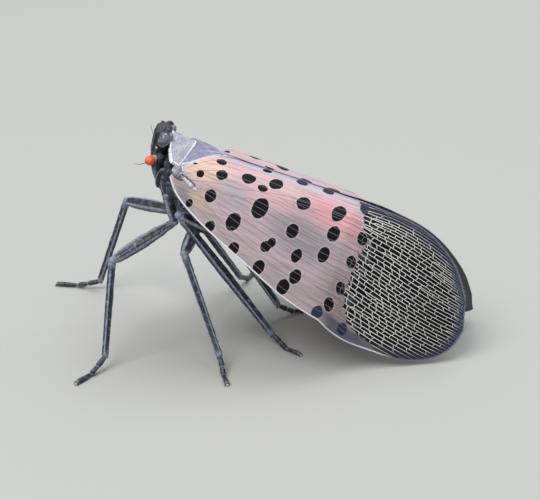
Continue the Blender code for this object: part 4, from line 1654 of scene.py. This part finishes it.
    def build_tegula(self, side: Side, material: Material) -> Piece:
        """Build the lobe over a wing's root."""
        s, y, h = self.tegula_centre
        if side is Side.RIGHT:
            y, h = y - self.tegula_tuck, h - self.tegula_tuck
        bm, pale = new_form()
        centre = side.at(s, y, h)
        verts = body_ball(bm, centre, self.tegula_size, 40, 28)
        for vert in verts:
            rim = abs((vert.co - centre).dot(UPWARD)) / self.tegula_size[2]
            vert[pale] = 0.3 + 0.6 * smoothstep(0.5, 0.1, rim)
            vert.co += UPWARD * 0.04 * smoothstep(0.2, 0.0, abs(rim - 0.1))
        bm.normal_update()
        roughen(verts, 0.04, 0.2, 5.0)
        name = f"tegula_lobe_{side.word}"
        return finish_form(name, bm, material, "plate", f"tegula_{side.word}")


# Legs


class LegPair(Enum):
    """The three pairs of legs."""

    FORE = "fore"
    MID = "mid"
    HIND = "hind"


# Hip, trochanter, knee, ankle and toe, in millimetres from the origin on the floor, y outwards
LEG_JOINTS: dict[tuple[LegPair, Side], Rows] = {
    (LegPair.FORE, Side.LEFT): ((-6.5, 1.75, 12.0), (-5.95, 1.9, 9.85), (-10.2, 4.4, 7.7),
                                (-10.55, 6.85, 1.0), (-12.2, 9.3, 0.22)),
    (LegPair.FORE, Side.RIGHT): ((-6.5, 1.75, 12.0), (-6.1, 1.75, 9.0), (-10.9, 5.6, 7.75),
                                 (-13.25, 5.25, 0.75), (-16.78, 5.55, 0.22)),
    (LegPair.MID, Side.LEFT): ((-4.6, 1.2, 10.8), (-4.2, 1.15, 9.75), (-5.1, 3.0, 7.85),
                               (-2.15, 6.1, 1.1), (-1.35, 8.3, 0.22)),
    (LegPair.MID, Side.RIGHT): ((-4.6, 1.2, 10.8), (-4.2, 1.15, 9.75), (-5.1, 3.0, 7.85),
                                (-2.15, 6.5, 1.1), (-1.3, 9.37, 0.22)),
    **{(LegPair.HIND, side): ((-3.0, 1.2, 9.8), (-2.4, 2.0, 9.0), (-5.4, 3.1, 11.0),
                              (1.35, 2.25, 1.0), (3.5, 3.5, 0.22)) for side in Side},
}


@dataclass
class Leg:
    """One leg: a jointed skin, claws and pad, spines and short bristles."""

    pair: LegPair
    side: Side
    # Radius at shares of a segment's length
    coxa: Rows = ((0.0, 0.3), (0.15, 0.4), (0.55, 0.42), (0.9, 0.33), (1.0, 0.24))
    femur: Rows = ((0.0, 0.24), (0.06, 0.33), (0.14, 0.34), (0.24, 0.44), (0.55, 0.52),
                   (0.84, 0.46), (0.95, 0.36), (1.0, 0.24))
    tibia: Rows = ((0.0, 0.22), (0.04, 0.31), (0.1, 0.28), (0.5, 0.285), (0.9, 0.25),
                   (0.97, 0.28), (1.0, 0.2))
    hind_tibia: Rows = ((0.0, 0.24), (0.04, 0.32), (0.1, 0.31), (0.45, 0.38), (0.9, 0.28),
                        (0.97, 0.29), (1.0, 0.2))
    tarsus_radius: float = 0.185
    foot_heel: float = 0.5
    segments: int = 6
    bristles_per_mm: float = 9.0
    bristle_length: float = 0.16
    bristle_patch: float = 0.003

    def __post_init__(self) -> None:
        """Turn the joints into places on this leg's side."""
        self.hip, self.trochanter, self.knee, self.ankle, self.toe = (
            Vector((x, self.side.value * y, z)) for x, y, z in LEG_JOINTS[self.pair, self.side])
        self.name = f"{self.pair.value}_{self.side.word}"
        self.foot_ahead = self.toe - self.ankle
        self.foot_ahead.z = 0.0
        self.foot_ahead.normalize()
        self.foot_side = self.foot_ahead.cross(Z_AXIS)
        # Root, direction outwards, direction of the limb and place on the bake map
        self.roots: list[tuple[Vector, Vector, Vector, Pair]] = []
        self.planned = 0

    def limb(self, bm: Build, pale: Layer, ends: tuple[Vector, Vector], profile: Rows, keels: int,
             depth: float, size: tuple[int, int]) -> None:
        """Add one segment of the leg.

        Args:
            bm: The leg's form.
            pale: Its layer of pale shares.
            ends: Where it starts and ends.
            profile: Radius at shares of its length.
            keels: How many keels run along it.
            depth: How deep the faces between the keels are, as a share of the radius.
            size: How many rings it has and how many corners a ring has.
        """
        start, end = ends
        rings, around = size
        ahead = (end - start).normalized()
        side, up = square_to(ahead)
        stations = []
        for t in (i / (rings - 1) for i in range(rings)):
            radius = read(profile, t)
            stations.append(Station(start.lerp(end, t), side * radius, up * radius))

        def crest(angle: float) -> float:
            return abs(math.cos(angle * keels / 2.0)) ** 0.7 if keels else 1.0

        def shape(angle: float, share: float) -> float:
            fade = smoothstep(0.0, 0.12, share) * smoothstep(1.0, 0.9, share)
            return 1.0 - depth * (1.0 - crest(angle)) * fade

        for vert in loft(bm, stations, around, shape, 0.5):
            t = (vert.co - start).dot(ahead) / (end - start).length
            local = vert.co - start.lerp(end, t)
            angle = math.atan2(local.dot(up), local.dot(side))
            fade = smoothstep(0.04, 0.14, t) * smoothstep(1.0, 0.9, t)
            line = smoothstep(0.86, 1.0, crest(angle)) * fade if keels else 0.0
            # Painted highlight: both ends of each segment are made pale to stand for light on the
            # knees and other joints.
            joint = 0.75 * (bump(0.02, 0.05, t) + bump(0.98, 0.04, t))
            vert[pale] = min(1.0, 0.95 * line + joint)
        self.plan_bristles(start, end, profile)

    def plan_bristles(self, start: Vector, end: Vector, profile: Rows) -> None:
        """Remember where a segment's bristles stand."""
        ahead = (end - start).normalized()
        side, up = square_to(ahead)
        count = int((end - start).length * self.bristles_per_mm)
        for i in range(count):
            t = (i + 0.5) / count
            angle = i * GOLDEN_ANGLE
            out = side * math.cos(angle) + up * math.sin(angle)
            root = start.lerp(end, t) + out * read(profile, t) * 0.86
            place = ((self.planned + t) / self.segments, angle / (2.0 * math.pi) % 1.0)
            self.roots.append((root, out, ahead, place))
        self.planned += 1

    def build_skin(self, material: Material) -> Piece:
        """Build the leg's skin."""
        bm, pale = new_form()
        shin = self.hind_tibia if self.pair is LegPair.HIND else self.tibia
        radius = self.tarsus_radius
        heel = self.ankle.lerp(self.toe, self.foot_heel)
        heel.z = radius + 0.03
        tip = self.toe.copy()
        tip.z = radius
        middle = self.ankle.lerp(heel, 0.55)
        first = ((0.0, radius * 0.8), (0.3, radius), (0.85, radius * 1.15), (1.0, radius * 0.8))
        last = ((0.0, radius * 0.6), (0.25, radius * 0.8), (0.8, radius * 1.05),
                (1.0, radius * 0.75))
        for ends, profile, keels, depth, size in (
                ((self.hip, self.trochanter), self.coxa, 3, 0.12, (46, 40)),
                ((self.trochanter, self.knee), self.femur, 4, 0.14, (46, 40)),
                ((self.knee, self.ankle), shin, 4, 0.3, (80, 40)),
                ((self.ankle, middle), first, 0, 0.0, (16, 24)),
                ((middle, heel), first, 0, 0.0, (16, 24)),
                ((heel, tip), last, 0, 0.0, (20, 24))):
            self.limb(bm, pale, ends, profile, keels, depth, size)
        self.keep_above_floor(bm)
        # The balls at the trochanter and the knee are pale as a painted highlight on the joints.
        for joint, size in ((self.trochanter, 0.3), (self.knee, 0.31)):
            axes = [Vector(axis) * size for axis in ((1, 0, 0), (0, 1, 0), (0, 0, 1))]
            for vert in ball(bm, joint, axes, 24, 16):
                vert[pale] = 0.8
        bm.normal_update()
        roughen(bm.verts, 0.03, 0.3, 1.3 * len(self.name))
        self.keep_above_floor(bm)
        nodes = [f"{part}_{self.name}" for part in ("coxa", "femur", "tibia", "tarsus")]
        return finish_form(f"leg_{self.name}", bm, material, "leg", *nodes)

    def keep_above_floor(self, bm: Build) -> None:
        """Flatten what would lie under the floor."""
        for vert in bm.verts:
            vert.co.z = max(vert.co.z, 0.0)

    def spike(self, bm: Build, root: Vector, tip: Vector, radius: float, rise: float = 0.0) -> None:
        """Add a pointed spine.

        Args:
            bm: The form that it is added to.
            root: Where it stands.
            tip: Its point.
            radius: Radius at its root.
            rise: How far its middle is bent upwards.
        """
        side, up = square_to((tip - root).normalized())
        stations = []
        for t in (i / 8 for i in range(9)):
            size = radius * (1.0 - t) ** 0.8 + 0.008
            centre = root.lerp(tip, t) + Z_AXIS * rise * math.sin(math.pi * t)
            stations.append(Station(centre, side * size, up * size))
        loft(bm, stations, 8)

    def build_claws(self, material: Material) -> Piece:
        """Build the two claws, the shin's end spines and a hind shin's long spines."""
        bm = bmesh.new()
        ahead, side = self.foot_ahead, self.foot_side
        for sign in (-1.0, 1.0):
            root = Vector((self.toe.x, self.toe.y, 0.2)) - ahead * 0.05 + side * 0.08 * sign
            tip = root + ahead * 0.16 + side * 0.14 * sign
            tip.z = 0.03
            self.spike(bm, root, tip, 0.05, 0.06)
        shin = (self.ankle - self.knee).normalized()
        across, up = square_to(shin)
        if self.pair is LegPair.HIND:
            for share in (0.3, 0.46, 0.62, 0.76, 0.88):
                out = (across * self.side.value * -1.0 + up * 0.4).normalized()
                root = self.knee.lerp(self.ankle, share) + out * 0.2
                self.spike(bm, root, root + out * 0.3 + shin * 0.22, 0.075)
        for i in range(7):
            angle = math.pi * (0.15 + 0.7 * i / 6) + math.pi
            out = across * math.cos(angle) + up * math.sin(angle)
            root = self.ankle - shin * 0.12 + out * 0.15
            self.spike(bm, root, root + out * 0.1 + shin * 0.24, 0.045)
        return finish_form(f"claws_{self.name}", bm, material, "leg")

    def build_pad(self, material: Material) -> Piece:
        """Build the soft pad between the claws."""
        bm = bmesh.new()
        centre = Vector((self.toe.x, self.toe.y, 0.1)) + self.foot_ahead * 0.02
        axes = (self.foot_ahead * 0.16, self.foot_side * -0.13, Z_AXIS * 0.1)
        ball(bm, centre, axes, 24, 16)
        return finish_form(f"foot_pad_{self.name}", bm, material, "leg")

    def build_bristles(self, material: Material) -> Piece:
        """Build the short bristles as solid needles."""
        bm = bmesh.new()
        spots = bm.loops.layers.uv.new(BAKE_MAP)
        patch = self.bristle_patch
        corners = ((0.0, 0.0), (patch, 0.0), (patch, patch), (0.0, patch))
        for i, (root, out, ahead, (u, v)) in enumerate(self.roots):
            lean = (out * 0.55 + ahead).normalized()
            length = self.bristle_length * (0.6 + 0.6 * (i * GOLDEN_SHARE % 1.0))
            tip = root + lean * length
            if tip.z < 0.01:
                continue
            turn = lean.to_track_quat("Z", "Y").to_matrix().to_4x4()
            made = bmesh.ops.create_cone(bm, cap_ends=True, segments=3, radius1=0.012,
                                         radius2=0.001, depth=length,
                                         matrix=Matrix.Translation(root.lerp(tip, 0.5)) @ turn)
            for face in {face for vert in made["verts"] for face in vert.link_faces}:
                for loop, (du, dv) in zip(face.loops, corners):
                    loop[spots].uv = (0.02 + 0.95 * u + du, 0.02 + 0.95 * v + dv)
        return finish_form(f"bristles_{self.name}", bm, material, "leg")


# Studio


@dataclass
class Studio:
    """Pale floor, soft lights and the camera at the photo's viewing angle."""

    eye: Triple = (0.01341, -0.11903, 0.06793)
    aim: Triple = (0.0009, 0.0, 0.00695)
    light_aim: Triple = (0.0, 0.0, 0.008)
    lens: float = 120.0
    sensor: float = 36.0
    floor_half: float = 2.0

    def build_floor(self) -> Piece:
        """Build the floor."""
        bm = bmesh.new()
        bmesh.ops.create_grid(bm, x_segments=1, y_segments=1, size=self.floor_half)
        mesh = to_mesh("floor", bm)
        mesh.materials.append(FloorFinish("studio_floor").make())
        floor = bpy.data.objects.new("floor", mesh)
        bpy.context.scene.collection.objects.link(floor)
        return floor

    def aimed(self, obj: Piece, place: Triple, aim: Triple) -> None:
        """Put an object in its place and turn it to look at a point."""
        obj.location = place
        obj.rotation_euler = (Vector(aim) - Vector(place)).to_track_quat("-Z", "Y").to_euler()
        bpy.context.scene.collection.objects.link(obj)

    def build_light(self, name: str, place: Triple, size: float, power: float,
                    colour: Triple) -> None:
        """Build one soft square light.

        Args:
            name: Its name.
            place: Where it hangs, in metres.
            size: Its side, in metres.
            power: Its power in watts.
            colour: Its linear colour.
        """
        data = bpy.data.lights.new(name, "AREA")
        data.energy = power
        data.size = size
        data.color = colour
        self.aimed(bpy.data.objects.new(name, data), place, self.light_aim)

    def build_camera(self) -> None:
        """Build the camera."""
        data = bpy.data.cameras.new("camera")
        data.lens = self.lens
        data.sensor_width = self.sensor
        data.clip_start = 0.005
        data.clip_end = 20.0
        camera = bpy.data.objects.new("camera", data)
        self.aimed(camera, self.eye, self.aim)
        bpy.context.scene.camera = camera

    def build(self) -> None:
        """Build everything round the insect."""
        self.build_floor()
        self.build_light("key_light", (-0.12, -0.14, 0.34), 0.22, 1.1, (1.0, 0.985, 0.965))
        self.build_light("top_light", (0.1, 0.12, 0.36), 0.3, 1.0, (0.94, 0.97, 1.0))
        world = bpy.data.worlds.new("studio")
        world.use_nodes = True
        sky = world.node_tree.nodes["Background"]
        sky.inputs["Color"].default_value = (0.86, 0.9, 0.95, 1.0)
        sky.inputs["Strength"].default_value = 0.5
        bpy.context.scene.world = world
        self.build_camera()
        bpy.context.scene.view_settings.view_transform = "Standard"


def main() -> None:
    """Build the whole insect and its studio."""
    logging.basicConfig(level=logging.INFO, format="%(name)s %(message)s")
    Studio().build()
    plan = WingPlan()
    venation = Venation(plan)
    venation.grow()
    LOG.info("veins %d, cross veins %d", len(venation.veins), len(venation.rungs))
    membrane = WingFinish("wing_membrane").make()
    veins = WingFinish("wing_veins", (218, 217, 212), (96, 93, 100), (106, 110, 124),
                       (84, 86, 106), (0.8, 0.15), True).make()
    folded = HindwingFinish("hind_wing").make()
    plate = PlateFinish("collar_plate").make()
    shield = PlateFinish("shield_plate", (160, 157, 180), (122, 119, 144)).make()
    hinge = PlateFinish("wing_hinge", (140, 136, 152), (58, 56, 70), (214, 212, 224)).make()
    cuticle = CuticleFinish("leg_cuticle").make()
    face = CuticleFinish("face_cuticle", (14, 14, 18), (30, 32, 42), (132, 140, 160),
                         0.48, 0.25, 0.08).make()
    skin = TrunkFinish("trunk_skin").make()
    eye = EyeFinish("eye").make()
    # The bead eye's near-white pink is partly its own colour and partly a painted glint.
    bead = PlainFinish("bead_eye", (214, 176, 178), (240, 220, 216), 0.15, 1.0).make()
    bulb = BulbFinish("antenna_bulb").make()
    claw = PlainFinish("claw", (20, 16, 16), (52, 42, 38), 0.3, 0.5).make()
    pad = PlainFinish("foot_pad", (150, 132, 112), (186, 170, 150), 0.6).make()
    bristle = PlainFinish("bristle", (120, 124, 132), (168, 172, 180), 0.5).make()

    for side in Side:
        wing = Forewing(side, plan, venation)
        wing.build_membrane(membrane)
        wing.build_veins(veins)
        wing.build_root(hinge)
        Hindwing(side, plan).build(folded)
    head = Head()
    head.build_skin(face)
    head.build_lip(face)
    for side in Side:
        head.build_eye(side, eye)
        head.build_bead(side, bead)
        head.build_antenna(side, bulb)
        head.build_bristle(side, claw)
    trunk = Trunk()
    trunk.build_skin(skin)
    trunk.build_neck(face)
    trunk.plate("pronotum", trunk.pronotum_place, trunk.pronotum_relief, (120, 44), plate)
    trunk.plate("mesonotum", trunk.mesonotum_place, trunk.mesonotum_relief, (70, 50), shield)
    for side in Side:
        trunk.build_tegula(side, hinge)
    for pair in LegPair:
        for side in Side:
            leg = Leg(pair, side)
            leg.build_skin(cuticle)
            leg.build_claws(claw)
            leg.build_pad(pad)
            leg.build_bristles(bristle)


if __name__ == "__main__":
    main()
